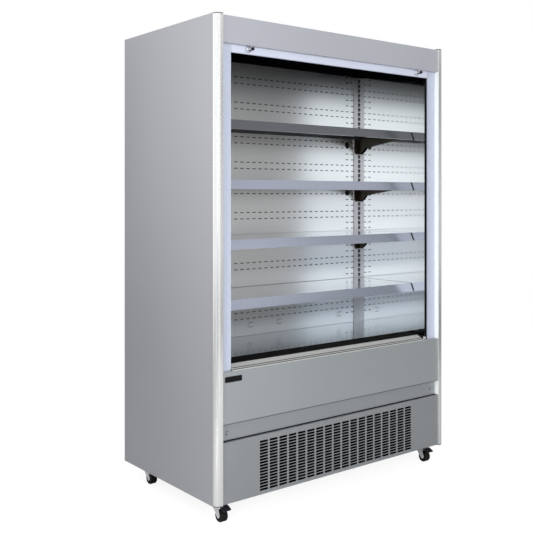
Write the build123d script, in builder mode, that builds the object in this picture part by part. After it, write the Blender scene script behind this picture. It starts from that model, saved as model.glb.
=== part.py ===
from build123d import *
import os
from math import hypot

os.makedirs("parts", exist_ok=True)

# Open multideck display fridge on castors, in millimetres.
# X runs across the front, Y runs to the back, Z runs up from the floor.

# cabinet
width = 1350.0
depth = 735.0
height = 2020.0
castor_height = 85.0
sheet = 1.5                 # folded steel sheet
clearance = 0.3             # gap between pieces that move on each other
touch = 0.02                # a cut reaches this far past a face

# outer shell
side_thickness = 34.0
side_rear_radius = 5.0
post_proud = 10.0           # corner posts stand in front of the header
post_depth = 22.8
post_radius = 21.0
cap_thickness = 4.0
roof_thickness = 40.0
back_thickness = 50.0

# front panels, from the floor upwards
grille_height = 243.0
shadow_gap = 5.0
band_height = 67.0
front_panel_height = 207.0
header_height = 109.0
tray_return = 15.0          # folded edge of each front panel
header_return = 12.0

# slots of the front grille
slot_length = 40.5
slot_width = 7.3
slot_pitch_x = 50.8
slot_pitch_z = 12.2
slot_rows = 17
slot_margin = 183.0         # from the end of the panel to the slot field
slot_field_low = 20.7       # first row above the bottom of the panel

# opening, jambs and liners
recess = 15.0               # jambs, band and blind bar lie behind the header face
jamb_thickness = 4.5
jamb_width = 54.0           # from the opening to the outer shell
liner_foam = 51.0           # from the liner to the outer shell
gasket_depth = 16.0
gasket_width = 10.0
gasket_reveal = 2.0
gasket_edge_radius = 1.5
trim_depth = 8.0
trim_proud = 0.5

# sill, deck and rear wall, measured back from the front panel face
rail_depth = 40.5
rail_rise = 20.0
rail_end_gap = 32.0
rail_lip = 3.0
groove_width = 4.0
groove_depth = 4.0
groove_places = (0.52, 0.76)        # shares of the rail's depth
return_grille_depth = 98.0
return_slot_length = 92.0
return_slot_width = 15.0
return_slot_pitch = 106.0
return_slot_rows = 3
deck_rise = 3.0             # front edge of the pan above the return grille
deck_slope_rise = 6.0
duct_depth = 192.5          # cold air duct behind the rear panels
rear_panel_return = 12.0
panel_joint_rise = 25.0     # above the top shelf
rear_slot_length = 20.0
rear_slot_height = 4.0
rear_slot_pitch = 72.4
rear_row_drop = 37.0        # slot row of each bay below the shelf above it
rear_row_rise = 245.0       # slot row of the top bay above its shelf

# uprights
upright_width = 37.0
upright_proud = 4.0
upright_depth = 25.0
upright_sheet = 2.0
upright_roof_gap = 48.0
upright_slot_width = 5.0
upright_slot_height = 13.0
upright_slot_pitch = 25.0
upright_slot_inset = 8.0    # from the liner

# canopy
ceiling_rear_drop = 44.0    # drops are below the underside of the roof
ceiling_knee_drop = 61.0
ceiling_knee_depth = 251.5
ceiling_front_drop = 70.0
honeycomb_front = 32.0
honeycomb_depth = 96.0
honeycomb_thickness = 18.0
honeycomb_drop = 77.0
honeycomb_columns = 16
honeycomb_rows = 2
honeycomb_wall = 5.0

# shelves
top_bay_height = 356.0      # from the top shelf to the underside of the roof
lowest_bay_height = 243.0   # least height under the lowest shelf
shelf_count = 4
shelf_side_gap = 5.0
shelf_rear_gap = 6.0
shelf_lip_top = 121.5       # lip edges, behind the front panel face
shelf_lip_bottom = 103.5
shelf_lip_height = 40.0
shelf_lip_return = 12.0
shelf_rear_flange = 20.0

# shelf brackets
bracket_sheet = 3.0
bracket_plate_width = 30.0
bracket_plate_sheet = 2.0
bracket_plate_inset = 2.0
bracket_plate_corner = 9.0
bracket_drop = 98.0
bracket_nose = 16.0         # front corner of the web behind the lip
bracket_nose_drop = 24.0
bracket_heel_depth = 56.0
bracket_heel_drop = 64.0
bracket_heel_radius = 75.0
hook_drop = 10.0            # upper hook below the shelf top
hook_spacing = 50.0
hook_lip = 9.0
hook_reach = 6.0
hook_neck = 3.5

# night blind
bar_height = 35.0
bar_thickness = 12.0
bar_radius = 3.0
bar_side_gap = 1.0
bar_drop = 32.0             # foot of the bar below the header
knob_inset = 84.0           # from the end of the opening
knob_rise = 17.0            # above the foot of the bar
knob_length = 38.0
knob_base_radius = 12.5
knob_base_length = 8.0
knob_taper_length = 5.0
knob_stem_radius = 7.0
knob_stem_length = 30.0
knob_tip_radius = 4.7
cloth_thickness = 0.8
cloth_side_gap = 27.0
roller_radius = 16.0
roller_side_gap = 18.0
wound_radius = 26.0
roller_drop = 28.0
roller_pin_radius = 5.0
roller_pin_length = 12.0
roller_bracket_sheet = 3.0
roller_bracket_height = 44.0
roller_bracket_depth = 36.0

# insulated tub under the deck
tub_height = 107.0
tub_floor_thickness = 45.0
tub_wall = 18.0
tub_front = 17.0
fan_plate_drop = 8.0

# chassis and machine compartment
base_sheet = 3.0
base_rim = 18.0
base_front = 16.0
rear_louvre_length = 220.0
rear_louvre_height = 9.0
rear_louvre_pitch_x = 420.0
rear_louvre_pitch_z = 24.0
rear_louvre_columns = 2
rear_louvre_rows = 9
gland_radius = 11.0
gland_length = 16.0
gland_inset = 81.0
gland_z = 150.0

compressor_x = 310.0
compressor_y = 335.0        # in front of the back face
compressor_radius = 82.0
compressor_body = 130.0
compressor_dome = 32.0
compressor_dome_taper = 50.0
compressor_plate = 190.0
compressor_foot = 12.0
compressor_foot_size = 24.0

coil_x = -180.0
coil_width = 500.0
coil_height = 330.0
coil_depth = 52.0
coil_front = 24.0
fin_groove = 6.0
fin_groove_depth = 10.0
coil_fin_pitch = 25.0
coil_pipe = 14.0
fan_ring_wall = 3.0

condenser_fan_radius = 138.0
condenser_hub_radius = 44.0
condenser_hub_length = 34.0
evaporator_fan_radius = 80.0
evaporator_hub_radius = 27.0
evaporator_hub_length = 24.0
fan_tip_gap = 5.0
fan_blades = 5
blade_thickness = 2.0
blade_pitch = 28.0
blade_root_share = 0.9      # of the hub's radius
blade_chord_share = 0.95    # of the hub's length
fan_setback = 3.0           # rotor behind the front of its ring
motor_radius_share = 0.8
motor_arm = 12.0
arm_thickness = 4.0
condenser_motor_length = 40.0
evaporator_motor_length = 16.0

evaporator_fan_x = 250.0
evaporator_end_gap = 120.0
evaporator_depth = 130.0
evaporator_height = 260.0
evaporator_fin_pitch = 47.0
evaporator_lift = 30.0

control_width = 160.0
control_depth = 150.0
control_height = 120.0
control_inset = 96.0
control_front = 95.0

# castors
castor_inset = 68.0         # swivel axes, from the sides
castor_front = 73.5         # behind the front panel face
castor_rear = 110.5         # in front of the back face
castor_plate = 60.0
castor_plate_thickness = 3.0
race_radius = 21.0
race_height = 9.0
stud_radius = 5.0
fork_top_thickness = 4.0
fork_sheet = 3.0
fork_eye_radius = 9.0
fork_top_half = 19.0
fork_shoulder = 12.0
trail = 22.0
wheel_radius = 25.0
wheel_width = 27.0
wheel_side_gap = 1.2
axle_radius = 4.0
axle_proud = 2.0
pin_sides = 12              # flats around the axles and pins
pedal_pin_radius = 2.0
pedal_pin_y = 7.0           # pin in front of the swivel axis
pedal_pin_z = 60.0
pedal_barrel_radius = 4.0
pedal_thickness = 3.5
pedal_length = 62.0
pedal_width = 30.0
pedal_mouth = 12.0          # the tread widens this far in front of the fork
pedal_side_gap = 1.0

# places worked out from the sizes above
half_width = width / 2
inner_half = half_width - side_thickness
overhang = max(post_proud, knob_length - recess)
front = overhang - (depth + overhang) / 2
back = front + depth
shell_top = height - cap_thickness
roof_low = shell_top - roof_thickness
header_low = shell_top - header_height
grille_low = castor_height
grille_top = grille_low + grille_height
band_low = grille_top + shadow_gap
front_panel_low = band_low + band_height
front_panel_top = front_panel_low + front_panel_height
sill_top = front_panel_top + rail_rise
back_inner = back - back_thickness
recess_y = front + recess
opening_half = inner_half - jamb_width
liner_half = inner_half - liner_foam
gasket_y = recess_y + jamb_thickness
trim_y = gasket_y + gasket_depth
liner_y = trim_y + trim_depth
gasket_inner = opening_half + gasket_reveal
trim_half = liner_half - trim_proud
rail_rear = front + rail_depth
rail_half = opening_half - rail_end_gap
deck_front = rail_rear + return_grille_depth
rear_y = back_inner - duct_depth
upright_y = rear_y - upright_proud
upright_inner = liner_half - upright_width
upright_slot_x = liner_half - upright_slot_inset
shelf_half = liner_half - shelf_side_gap
shelf_rear = upright_y - shelf_rear_gap
top_shelf_z = roof_low - top_bay_height
free_height = top_shelf_z - sill_top - lowest_bay_height
slots_per_shelf = int(free_height / (shelf_count - 1) / upright_slot_pitch)
shelf_spacing = slots_per_shelf * upright_slot_pitch
shelf_tops = [top_shelf_z - shelf_spacing * i for i in range(shelf_count)]
panel_joint = top_shelf_z + panel_joint_rise
upright_top = roof_low - upright_roof_gap
hook_y = upright_y + upright_sheet / 2
tub_floor_z = front_panel_top - tub_height
tub_floor_top = tub_floor_z + tub_floor_thickness
fan_plate_z = front_panel_top - fan_plate_drop
base_top = castor_height + base_sheet
bar_y = recess_y
bar_bottom = header_low - bar_drop
cloth_y = bar_y + bar_thickness / 2
cloth_half = opening_half - cloth_side_gap
roller_y = cloth_y + wound_radius
roller_z = roof_low - roller_drop
roller_half = liner_half - roller_side_gap
fan_y = (rear_y + back_inner) / 2


def save(piece, name):
    piece.label = name
    export_step(piece, f"parts/{name}.step")


def facing(y):
    """Plane at y, seen from the front: local x is X and local y is Z."""
    return Plane.XZ.offset(-y)


def block(x_span, y_span, z_span, mode=Mode.ADD):
    """Extruded rectangle between two corners, made in the open part."""
    with BuildSketch(Plane.XY.offset(z_span[0])) as outline:
        with Locations((sum(x_span) / 2, sum(y_span) / 2)):
            Rectangle(abs(x_span[1] - x_span[0]), y_span[1] - y_span[0])
    extrude(outline.sketch, amount=z_span[1] - z_span[0], mode=mode)


def folded_sheet(path, half_length, thickness=sheet, side=Side.RIGHT):
    """Sheet bent along a path of (y, z) points and run along X, in the open part."""
    with BuildSketch(Plane.YZ) as section:
        with BuildLine():
            Polyline(*path)
            offset(amount=thickness, side=side, kind=Kind.INTERSECTION)
        make_face()
    extrude(section.sketch, amount=half_length, both=True)


def folded_panel(z_low, z_high):
    """Front panel with a folded edge at its bottom and its top, in the open part."""
    edge_y = front + tray_return
    folded_sheet([(edge_y, z_low), (front, z_low), (front, z_high), (edge_y, z_high)], inner_half)


# ---------------------------------------------------------------- outer shell
def post_profile(sign):
    with BuildSketch() as profile:
        with Locations((sign * (half_width - side_thickness / 2), front - post_proud + post_depth / 2)):
            Rectangle(side_thickness, post_depth)
        outer = profile.vertices().sort_by_distance((sign * half_width, front - post_proud))[0]
        fillet(outer, radius=post_radius)
    return profile.sketch


post_rear = front - post_proud + post_depth
for side, sign in (("left", -1), ("right", 1)):
    with BuildPart() as side_panel:
        block((sign * inner_half, sign * half_width), (post_rear, back), (castor_height, height))
        rear_edge = side_panel.edges().filter_by(Axis.Z).sort_by_distance((sign * half_width, back, height))
        fillet(rear_edge[0], radius=side_rear_radius)
    save(side_panel.part, f"side_panel_{side}")

    post_levels = (castor_height, castor_height + cap_thickness, shell_top, height)
    pieces = []
    for z_low, z_high in zip(post_levels, post_levels[1:]):
        with BuildPart() as post_piece:
            with BuildSketch(Plane.XY.offset(z_low)):
                add(post_profile(sign))
            extrude(amount=z_high - z_low)
        pieces.append(post_piece.part)
    save(Compound(children=pieces), f"corner_post_{side}")

with BuildPart() as roof_panel:
    block((-inner_half, inner_half), (front + sheet, back), (roof_low, shell_top))
save(roof_panel.part, "roof_panel")

with BuildPart() as back_panel:
    block((-inner_half, inner_half), (back_inner, back), (tub_floor_z, roof_low))
save(back_panel.part, "back_panel")

with BuildPart() as header_panel:
    header_path = [(front + header_return, header_low), (front, header_low), (front, shell_top)]
    folded_sheet(header_path, inner_half)
save(header_panel.part, "header_panel")

with BuildPart() as front_panel:
    folded_panel(front_panel_low, front_panel_top)
save(front_panel.part, "front_panel")

with BuildPart() as front_band:
    block((-inner_half, inner_half), (recess_y, recess_y + sheet), (band_low, front_panel_low))
save(front_band.part, "front_band")

with BuildPart() as front_grille:
    folded_panel(grille_low, grille_top)
    slot_columns = int(2 * (inner_half - slot_margin) / slot_pitch_x)
    field_z = grille_low + slot_field_low + slot_pitch_z * (slot_rows - 1) / 2
    with BuildSketch(facing(front)):
        with Locations((0, field_z)):
            with GridLocations(slot_pitch_x, slot_pitch_z, slot_columns, slot_rows):
                Rectangle(slot_length, slot_width)
    extrude(amount=-2 * sheet, mode=Mode.SUBTRACT)
save(front_grille.part, "front_grille")


# ---------------------------------------------------------------- sill and deck
def rail_z(share):
    return front_panel_top + rail_lip + (rail_rise - rail_lip) * share


with BuildPart() as front_top_rail:
    with BuildSketch(Plane.YZ):
        with BuildLine():
            Polyline(
                (front, front_panel_top),
                (rail_rear, front_panel_top),
                (rail_rear, sill_top),
                (front, front_panel_top + rail_lip),
                close=True,
            )
        make_face()
    extrude(amount=rail_half, both=True)
    with BuildSketch(Plane.YZ):
        for share in groove_places:
            with Locations((front + rail_depth * share, rail_z(share))):
                Rectangle(groove_width, 2 * groove_depth)
    extrude(amount=rail_half, both=True, mode=Mode.SUBTRACT)
save(front_top_rail.part, "front_top_rail")

with BuildPart() as rail_end_blocks:
    for sign in (-1, 1):
        block(
            (sign * rail_half, sign * opening_half),
            (gasket_y, rail_rear),
            (front_panel_top, sill_top - rail_lip),
        )
save(rail_end_blocks.part, "rail_end_blocks")

with BuildPart() as return_air_grille:
    folded_sheet(
        [
            (rail_rear, front_panel_top),
            (rail_rear, sill_top),
            (deck_front - clearance, sill_top),
            (deck_front - clearance, front_panel_top),
        ],
        trim_half,
    )
    with BuildSketch(Plane.XY.offset(sill_top)):
        with Locations((0, (rail_rear + deck_front) / 2)):
            slot_pitch_y = return_grille_depth / (return_slot_rows + 1)
            slots_across = int(2 * trim_half / return_slot_pitch)
            with GridLocations(return_slot_pitch, slot_pitch_y, slots_across, return_slot_rows):
                Rectangle(return_slot_length, return_slot_width)
    extrude(amount=-2 * sheet, mode=Mode.SUBTRACT)
save(return_air_grille.part, "return_air_grille")

with BuildPart() as deck_pan:
    pan_foot = front_panel_top + clearance
    pan_rear = upright_y - clearance
    folded_sheet(
        [
            (deck_front, pan_foot),
            (deck_front, sill_top + deck_rise),
            (pan_rear, sill_top + deck_rise + deck_slope_rise),
            (pan_rear, pan_foot),
        ],
        liner_half - clearance,
    )
save(deck_pan.part, "deck_pan")

tub_half = trim_half - tub_wall
tub_slabs = [
    ((-trim_half, trim_half), (front + tub_front, back_inner), (tub_floor_z, tub_floor_top)),
    ((-trim_half, trim_half), (front + tub_front, rail_rear), (tub_floor_top, front_panel_top)),
    ((-trim_half, -tub_half), (rail_rear, rear_y), (tub_floor_top, front_panel_top)),
    ((tub_half, trim_half), (rail_rear, rear_y), (tub_floor_top, front_panel_top)),
    ((-trim_half, -tub_half), (rear_y, back_inner), (tub_floor_top, fan_plate_z)),
    ((tub_half, trim_half), (rear_y, back_inner), (tub_floor_top, fan_plate_z)),
]
tub_pieces = []
for spans in tub_slabs:
    with BuildPart() as tub_slab:
        block(*spans)
    tub_pieces.append(tub_slab.part)
save(Compound(children=tub_pieces), "insulated_tub")

# ---------------------------------------------------------------- jambs and liners
with BuildPart() as jamb_strips:
    for sign in (-1, 1):
        block(
            (sign * opening_half, sign * inner_half),
            (recess_y, gasket_y),
            (front_panel_top, header_low + header_return),
        )
save(jamb_strips.part, "jamb_strips")

with BuildPart() as jamb_gaskets:
    for sign in (-1, 1):
        block(
            (sign * gasket_inner, sign * (gasket_inner + gasket_width)),
            (gasket_y, trim_y),
            (sill_top, header_low),
        )
    fillet(jamb_gaskets.edges().filter_by(Axis.Z).group_by(SortBy.DISTANCE)[0], radius=gasket_edge_radius)
save(jamb_gaskets.part, "jamb_gaskets")

for side, sign in (("left", -1), ("right", 1)):
    with BuildPart() as side_liner:
        with BuildSketch(Plane.XY.offset(tub_floor_z)):
            with BuildLine():
                Polyline(
                    (sign * inner_half, gasket_y),
                    (sign * (gasket_inner + gasket_width), gasket_y),
                    (sign * (gasket_inner + gasket_width), trim_y),
                    (sign * trim_half, trim_y),
                    (sign * trim_half, liner_y),
                    (sign * liner_half, liner_y),
                    (sign * liner_half, back_inner),
                    (sign * inner_half, back_inner),
                    close=True,
                )
            make_face()
        extrude(amount=roof_low - tub_floor_z)
    save(side_liner.part, f"side_liner_{side}")


# ---------------------------------------------------------------- rear wall
def rear_panel(z_low, z_high, rows):
    """Rear panel with folded sides and one full row of slots at each given height."""
    half = upright_inner - clearance
    slots_aside = int(half / rear_slot_pitch)
    with BuildPart() as panel:
        with BuildSketch(Plane.XY.offset(z_low)):
            with BuildLine():
                Polyline(
                    (-half, rear_y + rear_panel_return),
                    (-half, rear_y),
                    (half, rear_y),
                    (half, rear_y + rear_panel_return),
                )
                offset(amount=sheet, side=Side.LEFT, kind=Kind.INTERSECTION)
            make_face()
        extrude(amount=z_high - z_low)
        with BuildSketch(facing(rear_y)):
            for row_z in rows:
                with Locations(*[(rear_slot_pitch * i, row_z) for i in range(-slots_aside, slots_aside + 1)]):
                    Rectangle(rear_slot_length, rear_slot_height)
        extrude(amount=-2 * sheet, mode=Mode.SUBTRACT)
    return panel.part


upper_rows = [top_shelf_z + rear_row_rise]
lower_rows = [shelf_z - rear_row_drop for shelf_z in shelf_tops]
rear_panel_top = roof_low - ceiling_rear_drop
save(rear_panel(panel_joint + clearance, rear_panel_top, upper_rows), "rear_panel_upper")
save(rear_panel(front_panel_top, panel_joint, lower_rows), "rear_panel_lower")

slots_above = int((upright_top - top_shelf_z) / upright_slot_pitch)
slots_below = slots_per_shelf * (shelf_count - 1) + round(hook_spacing / upright_slot_pitch)
hook_slots = [
    top_shelf_z - hook_drop + upright_slot_pitch * i for i in range(-slots_below, slots_above + 1)
]
for side, sign in (("left", -1), ("right", 1)):
    with BuildPart() as upright:
        with BuildSketch(Plane.XY.offset(front_panel_top)):
            with BuildLine():
                Polyline(
                    (sign * liner_half, upright_y + upright_depth),
                    (sign * liner_half, upright_y),
                    (sign * upright_inner, upright_y),
                    (sign * upright_inner, upright_y + upright_depth),
                )
                inside = Side.LEFT if sign < 0 else Side.RIGHT
                offset(amount=upright_sheet, side=inside, kind=Kind.INTERSECTION)
            make_face()
        extrude(amount=upright_top - front_panel_top)
        with BuildSketch(facing(upright_y)):
            with Locations(*[(sign * upright_slot_x, z) for z in hook_slots]):
                Rectangle(upright_slot_width, upright_slot_height)
        extrude(amount=-2 * upright_sheet, mode=Mode.SUBTRACT)
    save(upright.part, f"upright_{side}")

# ---------------------------------------------------------------- canopy
with BuildPart() as canopy_ceiling:
    folded_sheet(
        [
            (front + honeycomb_front + honeycomb_depth + clearance, roof_low - ceiling_front_drop),
            (front + ceiling_knee_depth, roof_low - ceiling_knee_drop),
            (rear_y, rear_panel_top),
        ],
        liner_half,
        side=Side.LEFT,
    )
save(canopy_ceiling.part, "canopy_ceiling")

with BuildPart() as discharge_honeycomb:
    comb_y = front + honeycomb_front
    honeycomb_z = roof_low - honeycomb_drop
    block(
        (-gasket_inner, gasket_inner),
        (comb_y, comb_y + honeycomb_depth),
        (honeycomb_z, honeycomb_z + honeycomb_thickness),
    )
    pitch_x = 2 * gasket_inner / honeycomb_columns
    pitch_y = honeycomb_depth / honeycomb_rows
    with BuildSketch(Plane.XY.offset(honeycomb_z)):
        with Locations((0, comb_y + honeycomb_depth / 2)):
            with GridLocations(pitch_x, pitch_y, honeycomb_columns, honeycomb_rows):
                Rectangle(pitch_x - honeycomb_wall, pitch_y - honeycomb_wall)
    extrude(amount=honeycomb_thickness, mode=Mode.SUBTRACT)
save(discharge_honeycomb.part, "discharge_honeycomb")

# ---------------------------------------------------------------- shelves
skirt_x = shelf_half - sheet


def shelf_tray(top):
    lip_top_y = front + shelf_lip_top
    lip_foot_y = front + shelf_lip_bottom
    lip_foot_z = top - shelf_lip_height
    with BuildPart() as shelf:
        folded_sheet(
            [
                (lip_foot_y + shelf_lip_return, lip_foot_z),
                (lip_foot_y, lip_foot_z),
                (lip_top_y, top),
                (shelf_rear, top),
                (shelf_rear, top - shelf_rear_flange),
            ],
            shelf_half,
        )
        for sign in (-1, 1):
            with BuildSketch(Plane.YZ.offset(sign * skirt_x)):
                with BuildLine():
                    Polyline(
                        (lip_foot_y + sheet, lip_foot_z + sheet),
                        (lip_top_y + sheet, top - sheet),
                        (shelf_rear - sheet, top - sheet),
                        (shelf_rear - sheet, top - shelf_rear_flange),
                        close=True,
                    )
                make_face()
            extrude(amount=sign * sheet)
    return shelf.part


def shelf_brackets(top):
    pivot_z = top - hook_drop
    plate_y = upright_y - clearance
    under = top - sheet
    nose_y = front + shelf_lip_top + bracket_nose
    flange_y = shelf_rear - sheet
    flange_low = top - shelf_rear_flange - clearance
    plate_low = top - bracket_drop
    slot_half = upright_slot_height / 2
    heel = (plate_y - bracket_heel_depth, top - bracket_heel_drop)
    with BuildPart() as brackets:
        for sign in (-1, 1):
            with BuildSketch(Plane.YZ.offset(sign * upright_slot_x)):
                with BuildLine():
                    RadiusArc((plate_y, plate_low), heel, bracket_heel_radius)
                    Polyline(
                        heel,
                        (nose_y, top - bracket_nose_drop),
                        (nose_y, under),
                        (flange_y, under),
                        (flange_y, flange_low),
                        (plate_y, flange_low),
                        (plate_y, plate_low),
                    )
                make_face()
                with Locations((hook_y, pivot_z)):
                    Circle(slot_half - clearance)
                with Locations((hook_y + (hook_neck + hook_reach) / 2, pivot_z - hook_lip / 2)):
                    Rectangle(hook_reach - hook_neck, hook_lip)
                with Locations(((plate_y + hook_y + hook_reach) / 2, pivot_z - hook_spacing)):
                    Rectangle(hook_y + hook_reach - plate_y + touch, slot_half)
            extrude(amount=bracket_sheet / 2, both=True)
            plate_x = sign * (upright_inner + bracket_plate_inset + bracket_plate_width / 2)
            with BuildSketch(facing(plate_y)) as plate:
                with Locations((plate_x, (pivot_z + plate_low) / 2)):
                    Rectangle(bracket_plate_width, pivot_z - plate_low)
                chamfer(plate.vertices().group_by(Axis.Y)[0], length=bracket_plate_corner)
            extrude(amount=bracket_plate_sheet)
    return brackets.part


for number, top in enumerate(shelf_tops, start=1):
    save(shelf_tray(top), f"shelf_{number}")
    save(shelf_brackets(top), f"shelf_{number}_brackets")

# ---------------------------------------------------------------- night blind
with BuildPart() as blind_bar:
    with BuildSketch(Plane.YZ):
        with Locations((cloth_y, bar_bottom + bar_height / 2)):
            RectangleRounded(bar_thickness, bar_height, bar_radius)
    extrude(amount=opening_half - bar_side_gap, both=True)
save(blind_bar.part, "blind_bar")

knob_x = opening_half - knob_inset
knob_z = bar_bottom + knob_rise
with BuildPart() as blind_knobs:
    for sign in (-1, 1):
        with BuildSketch(Plane.XY.offset(knob_z)):
            with BuildLine():
                x = sign * knob_x
                taper_y = bar_y - knob_base_length - knob_taper_length
                Polyline(
                    (x, bar_y),
                    (x + knob_base_radius, bar_y),
                    (x + knob_base_radius, bar_y - knob_base_length),
                    (x + knob_stem_radius, taper_y),
                    (x + knob_stem_radius, bar_y - knob_stem_length),
                    (x + knob_tip_radius, bar_y - knob_stem_length),
                    (x + knob_tip_radius, bar_y - knob_length),
                    (x, bar_y - knob_length),
                    close=True,
                )
            make_face()
        revolve(axis=Axis((sign * knob_x, bar_y, knob_z), (0, 1, 0)))
save(blind_knobs.part, "blind_knobs")

with BuildPart() as blind_cloth:
    bar_top = bar_bottom + bar_height
    block(
        (-cloth_half, cloth_half),
        (cloth_y - cloth_thickness, cloth_y),
        (bar_top + clearance, roller_z),
    )
save(blind_cloth.part, "blind_cloth")

with BuildPart() as blind_roller:
    with BuildSketch(Plane.YZ):
        with Locations((roller_y, roller_z)):
            Circle(roller_radius)
            Circle(roller_pin_radius + clearance, mode=Mode.SUBTRACT)
    extrude(amount=roller_half, both=True)
with BuildPart() as wound_cloth:
    with BuildSketch(Plane.YZ):
        with Locations((roller_y, roller_z)):
            Circle(wound_radius)
            Circle(roller_radius, mode=Mode.SUBTRACT)
    extrude(amount=cloth_half, both=True)
save(Compound(children=[blind_roller.part, wound_cloth.part]), "blind_roller")

with BuildPart() as roller_brackets:
    bracket_face = trim_half - roller_bracket_sheet
    for sign in (-1, 1):
        block(
            (sign * bracket_face, sign * trim_half),
            (trim_y, trim_y + roller_bracket_depth),
            (roof_low - roller_bracket_height, roof_low),
        )
        with BuildSketch(Plane.YZ.offset(sign * bracket_face)):
            with Locations((roller_y, roller_z)):
                Circle(roller_pin_radius)
        pin_end = roller_half - roller_pin_length
        extrude(amount=-sign * (bracket_face - pin_end))
save(roller_brackets.part, "roller_brackets")


# ---------------------------------------------------------------- castors
def castor_mount(x, y):
    """Top plate over the ball race of one swivel head, in the open part."""
    plate_low = castor_height - castor_plate_thickness
    with BuildSketch(Plane.XY.offset(plate_low)) as plate:
        with Locations((x, y)):
            Rectangle(castor_plate, castor_plate)
    extrude(plate.sketch, amount=castor_plate_thickness)
    with BuildSketch(Plane.XY.offset(plate_low)) as race:
        with Locations((x, y)):
            Circle(race_radius)
    extrude(race.sketch, amount=-race_height)
    with BuildSketch(Plane.XY.offset(plate_low - race_height)) as bore:
        with Locations((x, y)):
            RegularPolygon(stud_radius + clearance, pin_sides)
    extrude(bore.sketch, amount=race_height, mode=Mode.SUBTRACT)


fork_top_z = castor_height - castor_plate_thickness - race_height - clearance
fork_inner_half = wheel_width / 2 + wheel_side_gap
fork_outer_half = fork_inner_half + fork_sheet
fork_reach = fork_top_half + trail + fork_eye_radius


def castor_fork(x, y, direction, with_pedal):
    """Bent sheet fork with its stud and axle; direction is the side the wheel trails to."""
    axle_y = y + direction * trail
    with BuildPart() as fork:
        with BuildSketch(Plane.YZ.offset(x)) as side_view:
            with Locations((axle_y, wheel_radius)):
                Circle(fork_eye_radius)
            with Locations((y, fork_top_z - fork_shoulder / 2)):
                Rectangle(2 * fork_top_half, fork_shoulder)
            make_hull()
        extrude(amount=fork_outer_half, both=True)
        block(
            (x - fork_inner_half, x + fork_inner_half),
            (y - fork_reach, y + fork_reach),
            (0, fork_top_z - fork_top_thickness),
            mode=Mode.SUBTRACT,
        )
        with BuildSketch(Plane.XY.offset(fork_top_z)):
            with Locations((x, y)):
                RegularPolygon(stud_radius, pin_sides)
        extrude(amount=race_height)
        with BuildSketch(Plane.YZ.offset(x)):
            with Locations((axle_y, wheel_radius)):
                RegularPolygon(axle_radius, pin_sides)
            if with_pedal:
                with Locations((y + direction * pedal_pin_y, pedal_pin_z)):
                    RegularPolygon(pedal_pin_radius, pin_sides)
        extrude(amount=fork_outer_half + axle_proud, both=True)
    return fork.part


def castor_wheel(x, axle_y):
    with BuildPart() as wheel:
        with BuildSketch(Plane.YZ.offset(x)):
            with Locations((axle_y, wheel_radius)):
                Circle(wheel_radius)
        extrude(amount=wheel_width / 2, both=True)
        with BuildSketch(Plane.YZ.offset(x)):
            with Locations((axle_y, wheel_radius)):
                RegularPolygon(axle_radius + clearance, pin_sides)
        extrude(amount=wheel_width, both=True, mode=Mode.SUBTRACT)
    return wheel.part


def brake_pedal(x, y, direction):
    """Pedal above the wheel, turning on its pin; its tread widens past the fork."""
    pin_y = y + direction * pedal_pin_y
    tip_y = y + direction * pedal_length
    lever_half = fork_inner_half - pedal_side_gap
    mouth_y = y + direction * (fork_top_half + pedal_mouth)
    with BuildPart() as pedal:
        with BuildSketch(Plane.YZ.offset(x)):
            with Locations((pin_y, pedal_pin_z)):
                Circle(pedal_barrel_radius)
        extrude(amount=lever_half, both=True)
        with BuildSketch(Plane.XY.offset(pedal_pin_z - pedal_thickness / 2)):
            with BuildLine():
                Polyline(
                    (x - lever_half, pin_y),
                    (x - lever_half, mouth_y),
                    (x - pedal_width / 2, tip_y - direction * pedal_mouth),
                    (x - pedal_width / 4, tip_y),
                    (x + pedal_width / 4, tip_y),
                    (x + pedal_width / 2, tip_y - direction * pedal_mouth),
                    (x + lever_half, mouth_y),
                    (x + lever_half, pin_y),
                    close=True,
                )
            make_face()
        extrude(amount=pedal_thickness)
        with BuildSketch(Plane.YZ.offset(x)):
            with Locations((pin_y, pedal_pin_z)):
                RegularPolygon(pedal_pin_radius + clearance, pin_sides)
        extrude(amount=fork_outer_half, both=True, mode=Mode.SUBTRACT)
    return pedal.part


castor_x = half_width - castor_inset
castors = {
    "front_left": (-castor_x, front + castor_front, -1),
    "front_right": (castor_x, front + castor_front, -1),
    "rear_left": (-castor_x, back - castor_rear, -1),
    "rear_right": (castor_x, back - castor_rear, -1),
}
with BuildPart() as castor_plates:
    for x, y, direction in castors.values():
        castor_mount(x, y)
save(castor_plates.part, "castor_plates")

for place, (x, y, direction) in castors.items():
    has_brake = place.startswith("front")
    save(castor_fork(x, y, direction, has_brake), f"castor_fork_{place}")
    save(castor_wheel(x, y + direction * trail), f"castor_wheel_{place}")
    if has_brake:
        save(brake_pedal(x, y, direction), f"brake_pedal_{place}")

# ---------------------------------------------------------------- chassis
with BuildPart() as base_frame:
    base_y = (front + base_front, back - sheet)
    block((-inner_half, inner_half), base_y, (castor_height, base_top))
    for sign in (-1, 1):
        block((sign * (inner_half - base_sheet), sign * inner_half), base_y, (base_top, base_top + base_rim))
save(base_frame.part, "base_frame")

with BuildPart() as machine_rear_grille:
    block((-inner_half, inner_half), (back - sheet, back), (castor_height, tub_floor_z))
    with BuildSketch(facing(back)):
        with Locations((0, (castor_height + tub_floor_z) / 2)):
            with GridLocations(
                rear_louvre_pitch_x, rear_louvre_pitch_z, rear_louvre_columns, rear_louvre_rows
            ):
                Rectangle(rear_louvre_length, rear_louvre_height)
    extrude(amount=2 * sheet, mode=Mode.SUBTRACT)
    with BuildSketch(facing(back - sheet)):
        with Locations((inner_half - gland_inset, gland_z)):
            RegularPolygon(gland_radius, 6)
    extrude(amount=gland_length)
save(machine_rear_grille.part, "machine_rear_grille")


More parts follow.
